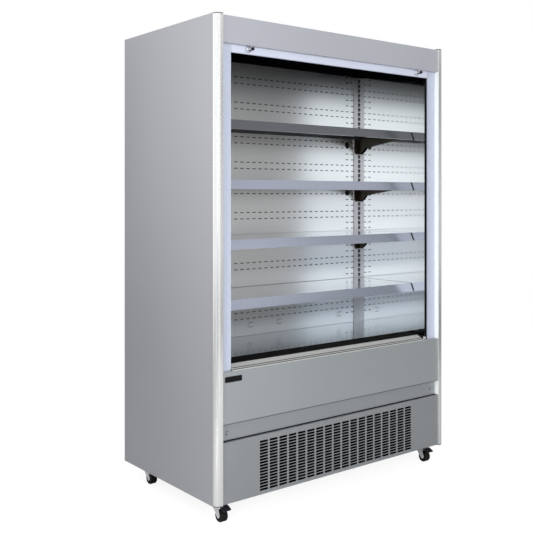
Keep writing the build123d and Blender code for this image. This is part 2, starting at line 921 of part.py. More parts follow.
def fan_rotor(plane, radius, hub_radius, hub_length):
    """Hub with pitched blades about the plane's normal, starting on the plane."""
    root = hub_radius * blade_root_share
    chord = hub_length * blade_chord_share
    with BuildPart() as rotor:
        with BuildSketch(plane):
            Circle(hub_radius)
        extrude(amount=hub_length)
        for i in range(fan_blades):
            spoke = plane.offset(hub_length / 2) * Location((0, 0, 0), (0, 0, 360 / fan_blades * i))
            with BuildSketch(spoke * Location((0, 0, 0), (blade_pitch, 0, 0))):
                with BuildLine():
                    Polyline(
                        (root, -chord / 2),
                        (radius - fan_tip_gap, -chord),
                        (radius - fan_tip_gap, chord),
                        (root, chord / 2),
                        close=True,
                    )
                make_face()
            extrude(amount=blade_thickness / 2, both=True)
    return rotor.part


def fan_mount(plane, radius, hub_radius, hub_length, motor_length):
    """Ring about one rotor, with the motor on its crossed arms, in the open part."""
    ring_radius = radius + fan_tip_gap
    arm_start = fan_setback + hub_length + clearance
    with BuildSketch(plane) as ring:
        Circle(ring_radius + fan_ring_wall)
        Circle(ring_radius, mode=Mode.SUBTRACT)
    extrude(ring.sketch, amount=arm_start + arm_thickness)
    with BuildSketch(plane.offset(arm_start)) as arms:
        Rectangle(2 * ring_radius + fan_ring_wall, motor_arm)
        Rectangle(motor_arm, 2 * ring_radius + fan_ring_wall)
    extrude(arms.sketch, amount=arm_thickness)
    with BuildSketch(plane.offset(arm_start)) as motor:
        Circle(hub_radius * motor_radius_share)
    extrude(motor.sketch, amount=arm_thickness + motor_length)


def finned_block(x_span, y_span, z_span, pitch):
    """Fin block with grooves in its front and rear faces, in the open part."""
    block(x_span, y_span, z_span)
    length = x_span[1] - x_span[0]
    count = round(length / pitch) - 1
    with BuildSketch(Plane.XY.offset(z_span[0])) as grooves:
        for y in y_span:
            with Locations((sum(x_span) / 2, y)):
                with GridLocations(length / (count + 1), 1, count, 1):
                    Rectangle(fin_groove, 2 * fin_groove_depth)
    extrude(grooves.sketch, amount=z_span[1] - z_span[0], mode=Mode.SUBTRACT)


# ---------------------------------------------------------------- condensing unit
compressor_centre = (compressor_x, back - compressor_y)
with BuildPart() as compressor:
    pot_low = base_top + compressor_foot + base_sheet
    with BuildSketch(Plane.XY.offset(pot_low - base_sheet)):
        with Locations(compressor_centre):
            Rectangle(compressor_plate, compressor_plate)
    extrude(amount=base_sheet)
    with BuildSketch(Plane.XY.offset(base_top)):
        with Locations(compressor_centre):
            foot_pitch = compressor_plate - compressor_foot_size
            with GridLocations(foot_pitch, foot_pitch, 2, 2):
                Rectangle(compressor_foot_size, compressor_foot_size)
    extrude(amount=compressor_foot)
    with BuildSketch(Plane.XY.offset(pot_low)):
        with Locations(compressor_centre):
            Circle(compressor_radius)
    extrude(amount=compressor_body)
    with BuildSketch(Plane.XY.offset(pot_low + compressor_body)):
        with Locations(compressor_centre):
            Circle(compressor_radius)
    extrude(amount=compressor_dome, taper=compressor_dome_taper)
save(compressor.part, "compressor")

coil_y = front + coil_front
with BuildPart() as condenser_coil:
    coil_span = (coil_x - coil_width / 2, coil_x + coil_width / 2)
    finned_block(coil_span, (coil_y, coil_y + coil_depth), (base_top, base_top + coil_height), coil_fin_pitch)
    with BuildSketch(Plane.XY.offset(base_top)):
        with Locations(*[(x, coil_y + coil_depth / 2) for x in coil_span]):
            Rectangle(coil_pipe, coil_depth * 0.6)
    extrude(amount=coil_height)
save(condenser_coil.part, "condenser_coil")

shroud_y = coil_y + coil_depth
condenser_axis = (coil_x, base_top + coil_height / 2)
shroud_plane = Plane(origin=(coil_x, shroud_y, condenser_axis[1]), x_dir=(1, 0, 0), z_dir=(0, 1, 0))
with BuildPart() as condenser_shroud:
    with BuildSketch(shroud_plane):
        Rectangle(coil_width, coil_height)
        Circle(condenser_fan_radius + fan_tip_gap, mode=Mode.SUBTRACT)
    extrude(amount=sheet)
    fan_mount(
        shroud_plane, condenser_fan_radius, condenser_hub_radius, condenser_hub_length, condenser_motor_length
    )
save(condenser_shroud.part, "condenser_shroud")

condenser_plane = shroud_plane.offset(fan_setback)
condenser_fan = fan_rotor(condenser_plane, condenser_fan_radius, condenser_hub_radius, condenser_hub_length)
save(condenser_fan, "condenser_fan")

with BuildPart() as control_box:
    control_x = inner_half - control_inset
    control_span = (control_x - control_width / 2, control_x + control_width / 2)
    control_y = front + control_front
    block(control_span, (control_y, control_y + control_depth), (base_top, base_top + control_height))
save(control_box.part, "control_box")

# ---------------------------------------------------------------- evaporator and its fans
fan_plate_top = fan_plate_z + sheet
evaporator_half = liner_half - evaporator_end_gap
fan_places = {"left": -evaporator_fan_x, "right": evaporator_fan_x}
with BuildPart() as fan_plate:
    with BuildSketch(Plane.XY.offset(fan_plate_z)):
        with Locations((0, fan_y)):
            Rectangle(2 * liner_half, back_inner - rear_y - 2 * sheet)
        with Locations(*[(x, fan_y) for x in fan_places.values()]):
            Circle(evaporator_fan_radius + fan_tip_gap, mode=Mode.SUBTRACT)
    extrude(amount=sheet)
    for x in fan_places.values():
        ring_plane = Plane(origin=(x, fan_y, fan_plate_z), x_dir=(1, 0, 0), z_dir=(0, 0, -1))
        fan_mount(
            ring_plane,
            evaporator_fan_radius,
            evaporator_hub_radius,
            evaporator_hub_length,
            evaporator_motor_length,
        )
save(fan_plate.part, "fan_plate")

for side, x in fan_places.items():
    rotor_plane = Plane(origin=(x, fan_y, fan_plate_z - fan_setback), x_dir=(1, 0, 0), z_dir=(0, 0, -1))
    rotor = fan_rotor(rotor_plane, evaporator_fan_radius, evaporator_hub_radius, evaporator_hub_length)
    save(rotor, f"evaporator_fan_{side}")

with BuildPart() as evaporator_coil:
    coil_low = fan_plate_top + evaporator_lift
    evaporator_y = (fan_y - evaporator_depth / 2, fan_y + evaporator_depth / 2)
    finned_block(
        (-evaporator_half, evaporator_half),
        evaporator_y,
        (coil_low, coil_low + evaporator_height),
        evaporator_fin_pitch,
    )
    for sign in (-1, 1):
        block(
            (sign * evaporator_half, sign * (evaporator_half + base_sheet)),
            evaporator_y,
            (fan_plate_top, coil_low + evaporator_height),
        )
save(evaporator_coil.part, "evaporator_coil")
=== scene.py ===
from math import cos, pi, radians, sin
import bpy
import bmesh
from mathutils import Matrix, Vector

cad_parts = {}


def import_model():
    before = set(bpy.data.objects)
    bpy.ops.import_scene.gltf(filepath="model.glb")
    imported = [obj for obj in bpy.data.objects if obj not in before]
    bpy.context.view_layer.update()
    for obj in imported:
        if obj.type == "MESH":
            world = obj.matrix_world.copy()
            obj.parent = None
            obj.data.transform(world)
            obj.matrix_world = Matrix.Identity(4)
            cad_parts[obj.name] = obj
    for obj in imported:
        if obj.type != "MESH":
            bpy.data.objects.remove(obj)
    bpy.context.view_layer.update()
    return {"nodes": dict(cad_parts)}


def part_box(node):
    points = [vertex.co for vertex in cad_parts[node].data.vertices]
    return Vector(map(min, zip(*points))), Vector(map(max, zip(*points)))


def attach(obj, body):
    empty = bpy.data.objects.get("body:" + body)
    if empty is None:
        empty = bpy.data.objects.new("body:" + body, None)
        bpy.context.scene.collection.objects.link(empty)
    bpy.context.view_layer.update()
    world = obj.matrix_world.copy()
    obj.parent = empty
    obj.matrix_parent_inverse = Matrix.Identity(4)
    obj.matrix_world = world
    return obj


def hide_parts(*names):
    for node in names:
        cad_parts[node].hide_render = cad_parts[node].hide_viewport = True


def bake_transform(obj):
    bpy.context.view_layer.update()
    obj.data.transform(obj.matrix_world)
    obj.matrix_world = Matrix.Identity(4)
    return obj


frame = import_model()
nodes = frame["nodes"]
print("frame loaded with", len(nodes), "nodes")

# camera, level, with the photo's vertical shift
cameraView = {"place": (-2.4878, -2.9947, 1.3004), "turn": -38.1, "lens": 55.34, "shiftY": -0.1317}
cameraData = bpy.data.cameras.new("photoCamera")
cameraData.lens = cameraView["lens"]
cameraData.shift_y = cameraView["shiftY"]
camera = bpy.data.objects.new("photoCamera", cameraData)
camera.location = cameraView["place"]
camera.rotation_euler = (radians(90), 0, radians(cameraView["turn"]))
bpy.context.scene.collection.objects.link(camera)
bpy.context.scene.camera = camera
print("camera set")


# ---- shader helpers
class Wire:
    # an output socket that can be reckoned with
    def __init__(self, paint, socket):
        self.paint = paint
        self.socket = socket

    def maths(self, operation, first, second):
        return self.paint.node("ShaderNodeMath", {"operation": operation}, {0: first, 1: second})

    def __add__(self, other):
        return self.maths("ADD", self, other)

    def __radd__(self, other):
        return self.maths("ADD", other, self)

    def __rsub__(self, other):
        return self.maths("SUBTRACT", other, self)

    def __mul__(self, other):
        return self.maths("MULTIPLY", self, other)

    def __rmul__(self, other):
        return self.maths("MULTIPLY", other, self)

    def __lt__(self, other):
        return self.maths("LESS_THAN", self, other)


class Paint:
    def __init__(self, name):
        self.material = bpy.data.materials.new(name)
        self.material.use_nodes = True
        self.tree = self.material.node_tree
        self.shader = self.tree.nodes["Principled BSDF"]
        self.objectPlace = self.node("ShaderNodeTexCoord", {}, {}, "Object")

    def node(self, kind, settings, inputs, output=0):
        made = self.tree.nodes.new(kind)
        for key, value in settings.items():
            if key == "stops":
                ramp = made.color_ramp
                while len(ramp.elements) < len(value):
                    ramp.elements.new(1.0)
                for element, (place, colour) in zip(ramp.elements, value):
                    element.position = place
                    element.color = (*colour, 1.0)
            else:
                setattr(made, key, value)
        for key, value in inputs.items():
            if isinstance(value, Wire):
                self.tree.links.new(value.socket, made.inputs[key])
            else:
                made.inputs[key].default_value = value
        return Wire(self, made.outputs[output])

    def put(self, **values):
        for key, value in values.items():
            socket = self.shader.inputs[key.replace("_", " ")]
            if isinstance(value, Wire):
                self.tree.links.new(value.socket, socket)
            elif isinstance(value, tuple):
                socket.default_value = (*value, 1.0)
            else:
                socket.default_value = value

    def axis(self, letter):
        return self.node("ShaderNodeSeparateXYZ", {}, {0: self.objectPlace}, letter)

    def facing(self, letter):
        normal = self.node("ShaderNodeTexCoord", {}, {}, "Normal")
        return self.node("ShaderNodeSeparateXYZ", {}, {0: normal}, letter)

    def noise(self, stretch, detail=2.0, roughness=0.5):
        place = self.node("ShaderNodeMapping", {}, {"Vector": self.objectPlace, "Scale": stretch})
        inputs = {"Vector": place, "Scale": 1.0, "Detail": detail, "Roughness": roughness}
        return self.node("ShaderNodeTexNoise", {}, inputs)

    def grainLines(self, grain):
        # brush lines, drawn out along one axis
        return self.noise(tuple(3.0 if letter == grain else 700.0 for letter in "XYZ"), 3.0)

    def broadCloud(self):
        return self.noise((2.2, 2.2, 1.4), 2.0)

    def speckle(self, grain=180.0):
        return self.noise((grain, grain, grain), 3.0)

    def range(self, value, low, high, toLow, toHigh):
        return self.node("ShaderNodeMapRange", {}, {"Value": value, 1: low, 2: high, 3: toLow, 4: toHigh})

    def blendColour(self, factor, first, second):
        first, second = (end if isinstance(end, Wire) else (*end, 1.0) for end in (first, second))
        return self.node("ShaderNodeMix", {"data_type": "RGBA"}, {"Factor": factor, 6: first, 7: second}, 2)

    def bump(self, height, strength, distance=0.0001):
        return self.node("ShaderNodeBump", {}, {"Height": height, "Strength": strength, "Distance": distance})


def brushedSteel(name, colour, roughness, grain="X", metallic=1.0, spread=0.05, shade=0.04, relief=0.05):
    paint = Paint(name)
    lines = paint.grainLines(grain)
    cloud = paint.broadCloud()
    darker = tuple(c * (1 - 2 * shade) for c in colour)
    paint.put(
        Base_Color=paint.blendColour(cloud, darker, colour),
        Roughness=roughness - spread / 2 + (0.7 * lines + 0.3 * cloud) * spread,
        Metallic=metallic,
        Normal=paint.bump(lines, relief),
    )
    return paint.material


def plainPaint(name, colour, roughness, metallic=0.0, grain=180.0, height=0.0003, shade=0.05):
    paint = Paint(name)
    speckle = paint.speckle(grain)
    cloud = paint.noise((4.0, 4.0, 4.0), 2.0)
    darker = tuple(c * (1 - shade) for c in colour)
    paint.put(
        Base_Color=paint.blendColour(cloud, darker, colour),
        Roughness=roughness - 0.03 + speckle * 0.06,
        Metallic=metallic,
        Normal=paint.bump(speckle, 0.15, height),
    )
    return paint.material


# ---- modelling helpers
def deselectAll():
    if bpy.context.object and bpy.context.object.mode != "OBJECT":
        bpy.ops.object.mode_set(mode="OBJECT")
    bpy.ops.object.select_all(action="DESELECT")


def makeActive(piece):
    deselectAll()
    piece.select_set(True)
    bpy.context.view_layer.objects.active = piece


def startBox(name, low, high):
    deselectAll()
    low, high = Vector(low), Vector(high)
    bpy.ops.mesh.primitive_cube_add(size=1.0, location=(low + high) / 2)
    piece = bpy.context.object
    piece.name = name
    piece.data.name = name
    piece.scale = high - low
    bpy.ops.object.transform_apply(location=True, rotation=True, scale=True)
    return piece


def startCylinder(name, centre, radius, depth, axis="Z", vertices=32):
    deselectAll()
    turn = {"X": (0, pi / 2, 0), "Y": (pi / 2, 0, 0), "Z": (0, 0, 0)}[axis]
    bpy.ops.mesh.primitive_cylinder_add(
        vertices=vertices, radius=radius, depth=depth, location=centre, rotation=turn
    )
    piece = bpy.context.object
    piece.name = name
    piece.data.name = name
    bpy.ops.object.transform_apply(location=True, rotation=True, scale=True)
    return piece


def pick(piece, kind, test):
    makeActive(piece)
    bpy.ops.object.mode_set(mode="EDIT")
    bpy.ops.mesh.select_mode(type=kind)
    bpy.ops.mesh.select_all(action="DESELECT")
    mesh = bmesh.from_edit_mesh(piece.data)
    for part in {"FACE": mesh.faces, "EDGE": mesh.edges, "VERT": mesh.verts}[kind]:
        part.select_set(test(part))
    mesh.select_flush_mode()
    bmesh.update_edit_mesh(piece.data)


def close(first, second, gap=1e-5):
    return abs(first - second) < gap


def middle(part):
    return sum((v.co for v in part.verts), Vector()) / len(part.verts)


def along(edge, axis):
    way = (edge.verts[0].co - edge.verts[1].co).normalized()
    return abs(way["XYZ".index(axis)]) > 0.99


def looksFront(face):
    return face.normal.y < -0.99


def looksAside(face):
    return abs(face.normal.x) > 0.99


def before(y):
    # a test for the edges that lie in front of y
    return lambda edge: all(v.co.y < y for v in edge.verts)


def roundOff(piece, test, radius, segments=3):
    pick(piece, "EDGE", test)
    bpy.ops.mesh.bevel(offset=radius, offset_type="OFFSET", segments=segments, profile=0.5, affect="EDGES")
    bpy.ops.object.mode_set(mode="OBJECT")


def applyModifier(piece, kind, **values):
    makeActive(piece)
    modifier = piece.modifiers.new(kind.lower(), kind)
    for key, value in values.items():
        setattr(modifier, key, value)
    bpy.ops.object.modifier_apply(modifier=modifier.name)


def repeated(piece, count, step):
    applyModifier(
        piece, "ARRAY", count=count, use_relative_offset=False, use_constant_offset=True,
        constant_offset_displace=step,
    )


def smoothByAngle(piece, angle=35):
    # broad faces keep their own direction, so flat sheet stays flat in the light
    makeActive(piece)
    bpy.ops.object.shade_smooth_by_angle(angle=radians(angle))
    applyModifier(piece, "WEIGHTED_NORMAL", weight=50, keep_sharp=True)


def edgeSoften(piece, width, segments=2, angle=40):
    applyModifier(
        piece, "BEVEL", width=width, segments=segments, limit_method="ANGLE", angle_limit=radians(angle)
    )


fineEdge = 0.0001  # for strips and sockets too thin for a visible bevel


def copyOf(piece, name, shift):
    made = piece.copy()
    made.data = piece.data.copy()
    made.name = name
    made.data.name = name
    bpy.context.scene.collection.objects.link(made)
    makeActive(made)
    made.location = shift
    bpy.ops.object.transform_apply(location=True, rotation=True, scale=True)
    return made


def joined(name, pieces):
    deselectAll()
    for piece in pieces:
        piece.select_set(True)
    bpy.context.view_layer.objects.active = pieces[0]
    bpy.ops.object.join()
    pieces[0].name = name
    pieces[0].data.name = name
    return pieces[0]


def cutWith(piece, cutter):
    applyModifier(piece, "BOOLEAN", operation="DIFFERENCE", solver="EXACT", object=cutter)
    bpy.data.objects.remove(cutter)


def foldedSheet(name, path, span, thickness, bend=0.0, segments=3, across="X"):
    # a plane over the first run of the path, then its far edge extruded along the other runs
    def spot(side, point):
        return Vector((side, *point)) if across == "X" else Vector((*point, side))

    deselectAll()
    bpy.ops.mesh.primitive_plane_add(size=1.0)
    piece = bpy.context.object
    piece.name = name
    piece.data.name = name
    for corner in piece.data.vertices:
        side = span[0] if corner.co.x < 0 else span[1]
        corner.co = spot(side, path[0] if corner.co.y < 0 else path[1])
    farEnds = [spot(side, path[1]) for side in span]
    pick(piece, "EDGE", lambda e: all(min((v.co - end).length for end in farEnds) < 1e-6 for v in e.verts))
    for start, end in zip(path[1:], path[2:]):
        bpy.ops.mesh.extrude_region_move(TRANSFORM_OT_translate={"value": spot(0, end) - spot(0, start)})
    bpy.ops.object.mode_set(mode="OBJECT")
    if bend:
        applyModifier(
            piece, "BEVEL", width=bend, segments=segments, limit_method="ANGLE", angle_limit=radians(15)
        )
    applyModifier(piece, "SOLIDIFY", thickness=thickness, offset=-1.0, use_even_offset=True)
    return piece


def dress(piece, body, material, replaces=()):
    piece.data.materials.clear()
    piece.data.materials.append(material)
    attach(piece, body)
    if replaces:
        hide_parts(*replaces)


# ---- finishes
def dullBlack(name, colour, roughness, shine=0.15):
    material = plainPaint(name, colour, roughness)
    material.node_tree.nodes["Principled BSDF"].inputs["Specular IOR Level"].default_value = shine
    return material


# the lip colours by height are painted shade and reflection: lighter low down, dark under the canopy
shelfLook = {"deck": (0.74, 0.77, 0.82), "underside": (0.30, 0.27, 0.21), "lowLip": (0.50, 0.54, 0.65),
             "midLip": (0.345, 0.37, 0.45), "topLipPaintedShade": (0.12, 0.125, 0.14), "lowToMid": (0.95, 1.15),
             "midToTop": (1.45, 1.55)}


def shelfFinish():
    # polished deck, satin lip, darker underside; the lips are painted darker towards the canopy, as painted
    # shade and reflection
    paint = Paint("shelfSteel")
    lines = paint.grainLines("X")
    lip = paint.facing("Y") < -0.5
    under = paint.facing("Z") < -0.5
    canopyShadeShare = paint.range(paint.axis("Z"), *shelfLook["midToTop"], 0.0, 1.0)
    lowShare = paint.range(paint.axis("Z"), *shelfLook["lowToMid"], 1.0, 0.0)
    openLip = paint.blendColour(lowShare, shelfLook["midLip"], shelfLook["lowLip"])
    lipPaintedShade = paint.blendColour(canopyShadeShare, openLip, shelfLook["topLipPaintedShade"])
    upper = paint.blendColour(lip, shelfLook["deck"], lipPaintedShade)
    paint.put(
        Base_Color=paint.blendColour(under, upper, shelfLook["underside"]),
        Roughness=0.12 + lip * 0.10 + lines * 0.02,
        Metallic=1.0 - lip * 0.15,
        Normal=paint.bump(lines, 0.01),
    )
    return paint.material


# the near-black inside colour is painted shade of the cabinet's inner spaces
sideLook = {"dark": (0.42, 0.425, 0.455), "light": (0.46, 0.465, 0.50), "inside": (0.05, 0.05, 0.05),
            "innerHalf": 0.65, "belowRoof": 1.9}


def sideFinish():
    # satin sheet outside and on the roof; the faces between the sides are painted dark and less metallic, as
    # painted shade inside the cabinet
    paint = Paint("sideSkin")
    lines = paint.grainLines("Z")
    cloud = paint.broadCloud()
    fromMiddle = paint.node("ShaderNodeMath", {"operation": "ABSOLUTE"}, {0: paint.axis("X")})
    inner = (fromMiddle < sideLook["innerHalf"]) * (paint.axis("Z") < sideLook["belowRoof"])
    outer = paint.blendColour(cloud, sideLook["dark"], sideLook["light"])
    paint.put(
        Base_Color=paint.blendColour(inner, outer, sideLook["inside"]),
        Roughness=0.42 + cloud * 0.04,
        Metallic=0.7 - inner * 0.6,
        Normal=paint.bump(lines, 0.03),
    )
    return paint.material


# the near-black duct colour is painted shade, not the sheet's own paint
backLook = {"outside": (0.42, 0.43, 0.45), "ductPaintedShade": (0.012, 0.012, 0.012), "ductDepth": 0.36}


def backFinish():
    # light paint outside; the faces towards the air duct are painted near black, as painted shade of the duct
    paint = Paint("rearPaint")
    speckle = paint.speckle()
    ductPaintedShade = paint.axis("Y") < backLook["ductDepth"]
    paint.put(
        Base_Color=paint.blendColour(ductPaintedShade, backLook["outside"], backLook["ductPaintedShade"]),
        Roughness=0.47 + speckle * 0.06,
        Normal=paint.bump(speckle, 0.15, 0.0003),
    )
    return paint.material


madeFinishes = [
    # panel, band and grille are the same brushed steel in three shades, darker lower down: painted shade
    brushedSteel("panelSteel", (0.41, 0.435, 0.45), 0.50, metallic=0.7, relief=0.03),
    brushedSteel("bandSteel", (0.37, 0.39, 0.405), 0.50, metallic=0.7, relief=0.03),
    brushedSteel("grilleSteel", (0.345, 0.36, 0.375), 0.50, metallic=0.7, relief=0.03),
    brushedSteel("headerSteel", (0.445, 0.45, 0.495), 0.50, metallic=0.5, relief=0.03),
    brushedSteel("jambSteel", (0.47, 0.505, 0.61), 0.42, "Z", metallic=0.3, relief=0.02),
    sideFinish(),
    brushedSteel("postAluminium", (0.83, 0.83, 0.825), 0.24, "Z", metallic=0.8, spread=0.03, relief=0.01),
    # white strips on the posts' inner faces: a painted highlight of the light there
    plainPaint("postFlankHighlight", (0.95, 0.97, 0.97), 0.5, grain=60.0, shade=0.01),
    brushedSteel("barAluminium", (0.595, 0.63, 0.74), 0.34, metallic=0.3, relief=0.02),
    brushedSteel("polishedLiner", (0.91, 0.925, 0.93), 0.07, "Z", spread=0.02, shade=0.01, relief=0.0),
    brushedSteel("rearSteel", (0.92, 0.93, 0.935), 0.30, "Z", spread=0.03, shade=0.01, relief=0.01),
    brushedSteel("uprightSteel", (0.60, 0.585, 0.60), 0.34, "Z", relief=0.02),
    brushedSteel("bracketSteel", (0.11, 0.097, 0.078), 0.38, "Z", relief=0.02),
    shelfFinish(),
    brushedSteel("deckSteel", (0.435, 0.51, 0.59), 0.12, spread=0.02, shade=0.01, relief=0.006),
    brushedSteel("railSteel", (0.64, 0.65, 0.64), 0.40, metallic=0.4),
    plainPaint("zincSteel", (0.74, 0.76, 0.78), 0.30, 0.45, 60.0, shade=0.12),
    plainPaint("screwSteel", (0.26, 0.26, 0.27), 0.42, 0.5, 60.0, shade=0.12),
    # the chassis is painted near black as painted shade of the machine compartment behind the slots
    plainPaint("chassisPaintedShade", (0.06, 0.06, 0.06), 0.5, 0.5, 60.0, shade=0.15),
    plainPaint("pedalSteel", (0.055, 0.055, 0.065), 0.32, 0.7, 90.0, shade=0.1),
    dullBlack("blackPlastic", (0.008, 0.008, 0.009), 0.5, 0.2),
    dullBlack("plateBlack", (0.006, 0.006, 0.006), 0.5, 0.1),
    dullBlack("grilleBlack", (0.003, 0.003, 0.003), 0.6, 0.0),
    dullBlack("ribBlack", (0.008, 0.008, 0.0075), 0.5, 0.1),
    # dark grey strips in the rail's grooves: painted shade
    plainPaint("grooveShadeGrey", (0.085, 0.085, 0.08), 0.6),
    dullBlack("blackRubber", (0.008, 0.008, 0.008), 0.6),
    dullBlack("wheelBlack", (0.007, 0.007, 0.006), 0.45, 0.25),
    dullBlack("ceilingBlack", (0.002, 0.002, 0.003), 0.8, 0.0),
    # near black without sheen: a filter's colour, and painted shade behind slots, along edges and in holes
    dullBlack("filterAndShadeBlack", (0.002, 0.002, 0.002), 0.9, 0.0),
    plainPaint("innerPlastic", (0.20, 0.20, 0.21), 0.5),
    backFinish(),
    plainPaint("compressorPaint", (0.012, 0.012, 0.013), 0.3),
    dullBlack("coilBlack", (0.012, 0.012, 0.012), 0.6),
    plainPaint("coilAluminium", (0.30, 0.31, 0.32), 0.4, 0.9),
    plainPaint("knobChrome", (0.80, 0.80, 0.83), 0.12, 1.0, 60.0, 0.00005, 0.02),
    plainPaint("blindFabric", (0.50, 0.52, 0.56), 0.8),
    plainPaint("capGrey", (0.10, 0.10, 0.105), 0.45),
]
finishes = {finish.name: finish for finish in madeFinishes}
print("finishes ready")

# ---- corner posts with bullnose outer edges and dark caps
post = {"radius": 0.021, "innerEdge": 0.0015, "cap": 0.004, "segments": 14, "flank": 0.0006,
        "flankInset": 0.002, "belowJambTop": (1.312, 0.012)}
for side, sign in (("left", -1), ("right", 1)):
    low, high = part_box(f"corner_post_{side}")
    outerX = low.x if sign < 0 else high.x

    def outerEdge(edge):
        spot = middle(edge)
        return along(edge, "Z") and close(spot.x, outerX) and close(spot.y, low.y)

    def innerFrontEdge(edge):
        spot = middle(edge)
        return along(edge, "Z") and not close(spot.x, outerX, post["radius"]) and close(spot.y, low.y)

    levels = {
        "body": (low.z + post["cap"], high.z - post["cap"], "postAluminium", "post_aluminium"),
        "footCap": (low.z, low.z + post["cap"], "capGrey", "black_trim"),
        "headCap": (high.z - post["cap"], high.z, "capGrey", "black_trim"),
    }
    for part, (zLow, zHigh, finish, slotName) in levels.items():
        piece = startBox(f"cornerPost.{side}.{part}", (low.x, low.y, zLow), (high.x, high.y, zHigh))
        roundOff(piece, innerFrontEdge, post["innerEdge"], 2)
        roundOff(piece, outerEdge, post["radius"], post["segments"])
        smoothByAngle(piece, 20)
        dress(piece, "cabinet", finishes[finish], [f"corner_post_{side}"])
    # white strips beside the jamb and the band, where the post's inner face shows in the recess: a painted
    # highlight
    flankX = high.x if sign < 0 else low.x
    _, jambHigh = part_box("jamb_strips")
    bandLow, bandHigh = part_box("front_band")
    inner, outer = sorted((flankX, flankX - sign * post["flank"]))
    frontY = low.y + post["flankInset"]
    spans = ((bandLow.z, bandHigh.z), tuple(jambHigh.z - drop for drop in post["belowJambTop"]))
    strips = [
        startBox(f"flank{side}{zLow:.2f}", (inner, frontY, zLow), (outer, bandLow.y, zHigh))
        for zLow, zHigh in spans
    ]
    flank = joined(f"cornerPost.{side}.flank", strips)
    edgeSoften(flank, fineEdge, 1)
    dress(flank, "cabinet", finishes["postFlankHighlight"])
print("posts made")

# ---- header and front panel, folded sheet
sheetMetal = {"thickness": 0.0015, "bend": 0.0025}
headerLow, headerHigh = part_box("header_panel")
header = foldedSheet(
    "headerPanel",
    [(headerHigh.y, headerLow.z), (headerLow.y, headerLow.z), (headerLow.y, headerHigh.z)],
    (headerLow.x, headerHigh.x),
    sheetMetal["thickness"],
    sheetMetal["bend"],
)
smoothByAngle(header)
dress(header, "cabinet", finishes["headerSteel"], ["header_panel"])


def trayPanel(name, node, thickness=sheetMetal["thickness"]):
    low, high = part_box(node)
    path = [(high.y, low.z), (low.y, low.z), (low.y, high.z), (high.y, high.z)]
    return foldedSheet(name, path, (low.x, high.x), thickness, sheetMetal["bend"])


frontPanel = trayPanel("frontPanel", "front_panel")
smoothByAngle(frontPanel)
dress(frontPanel, "cabinet", finishes["panelSteel"], ["front_panel"])
print("header and front panel made")


# ---- slots with round ends, cut through flat sheet
def slotCutter(name, centre, size, reach, vertices=12, grid=(1, 1), pitch=(1.0, 1.0)):
    # a cylinder through the sheet whose two halves are drawn apart along the slot
    length, height = size
    cutter = startCylinder(name, centre, min(size) / 2, reach, "Y", vertices)
    for corner in cutter.data.vertices:
        if length > height:
            corner.co.x += (length - height) / 2 * (1 if corner.co.x > centre[0] else -1)
        else:
            corner.co.z += (height - length) / 2 * (1 if corner.co.z > centre[2] else -1)
    for count, step in ((grid[0], (pitch[0], 0, 0)), (grid[1], (0, 0, pitch[1]))):
        if count > 1:
            repeated(cutter, count, step)
    return cutter


grilleSlots = {"size": (0.0435, 0.0096), "pitch": (0.0508, 0.0122), "grid": (18, 17), "lowestRow": 0.0207,
               "sheet": 0.001, "reach": 0.008, "vertices": 16}
frontGrille = trayPanel("frontGrille", "front_grille", grilleSlots["sheet"])
grilleLow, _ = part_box("front_grille")
firstColumn = -grilleSlots["pitch"][0] * (grilleSlots["grid"][0] - 1) / 2
firstSlot = (firstColumn, grilleLow.y, grilleLow.z + grilleSlots["lowestRow"])
cutWith(frontGrille, slotCutter(
    "grilleCutter", firstSlot, grilleSlots["size"], grilleSlots["reach"], grilleSlots["vertices"],
    grilleSlots["grid"], grilleSlots["pitch"],
))
smoothByAngle(frontGrille)
dress(frontGrille, "cabinet", finishes["grilleSteel"], ["front_grille"])

# pleated dust filter right behind the slots, near black so that it also stands as painted shade behind them
filterMat = {"gap": 0.0022, "depth": 0.009, "pleat": 0.008, "margin": 0.012, "sheet": 0.0004}
halfField = -firstColumn + grilleSlots["size"][0] / 2 + filterMat["margin"]
filterTop = firstSlot[2] + grilleSlots["pitch"][1] * (grilleSlots["grid"][1] - 1) + filterMat["margin"]
nearY = grilleLow.y + sheetMetal["thickness"] + filterMat["gap"]
dustFilter = foldedSheet(
    "grilleDustFilter",
    [(-halfField, nearY), (-halfField + filterMat["pleat"] / 2, nearY + filterMat["depth"]),
     (-halfField + filterMat["pleat"], nearY)],
    (firstSlot[2] - filterMat["margin"], filterTop),
    filterMat["sheet"],
    across="Z",
)
repeated(dustFilter, round(2 * halfField / filterMat["pleat"]), (filterMat["pleat"], 0, 0))
dress(dustFilter, "cabinet", finishes["filterAndShadeBlack"])
print("front grille cut")

# ---- rear wall with its slot rows, lanced tabs, plugs and screws
rearSlots = {"size": (0.020, 0.0048), "pitch": 0.0362, "columns": 31, "outerColumns": (14, 15),
             "sheet": 0.001, "edge": 0.0004, "rowStep": 0.030, "pairStep": 0.120, "clear": 0.012,
             "reach": 0.010, "vertices": 8}
lancedTabs = {"columns": (-0.130, 0.049, 0.452), "height": 0.686, "size": (0.028, 0.024), "line": 0.0028,
              "dash": (0.026, 0.0035), "dashHeight": 0.768}
rowStep, pairStep = rearSlots["rowStep"], rearSlots["pairStep"]
# heights of the rows that run right across, and of those with slots only at the sides
rearWall = {
    "upper": {
        "fullRows": [1.715, 1.745, 1.835, 1.865],
        "sideRows": [1.686 + rowStep * row for row in range(9)],
    },
    "lower": {
        "fullRows": [z + pairStep * pair for pair in range(7) for z in (0.833, 0.863)] + [0.717, 0.747],
        "sideRows": [0.689] + [0.893 + pairStep * pair + rowStep * row for pair in range(6) for row in (0, 1)],
    },
}


def wallCutter(name, spot, size=rearSlots["size"], columns=1):
    return slotCutter(
        name, spot, size, rearSlots["reach"], rearSlots["vertices"], (columns, 1), (rearSlots["pitch"], 1.0)
    )


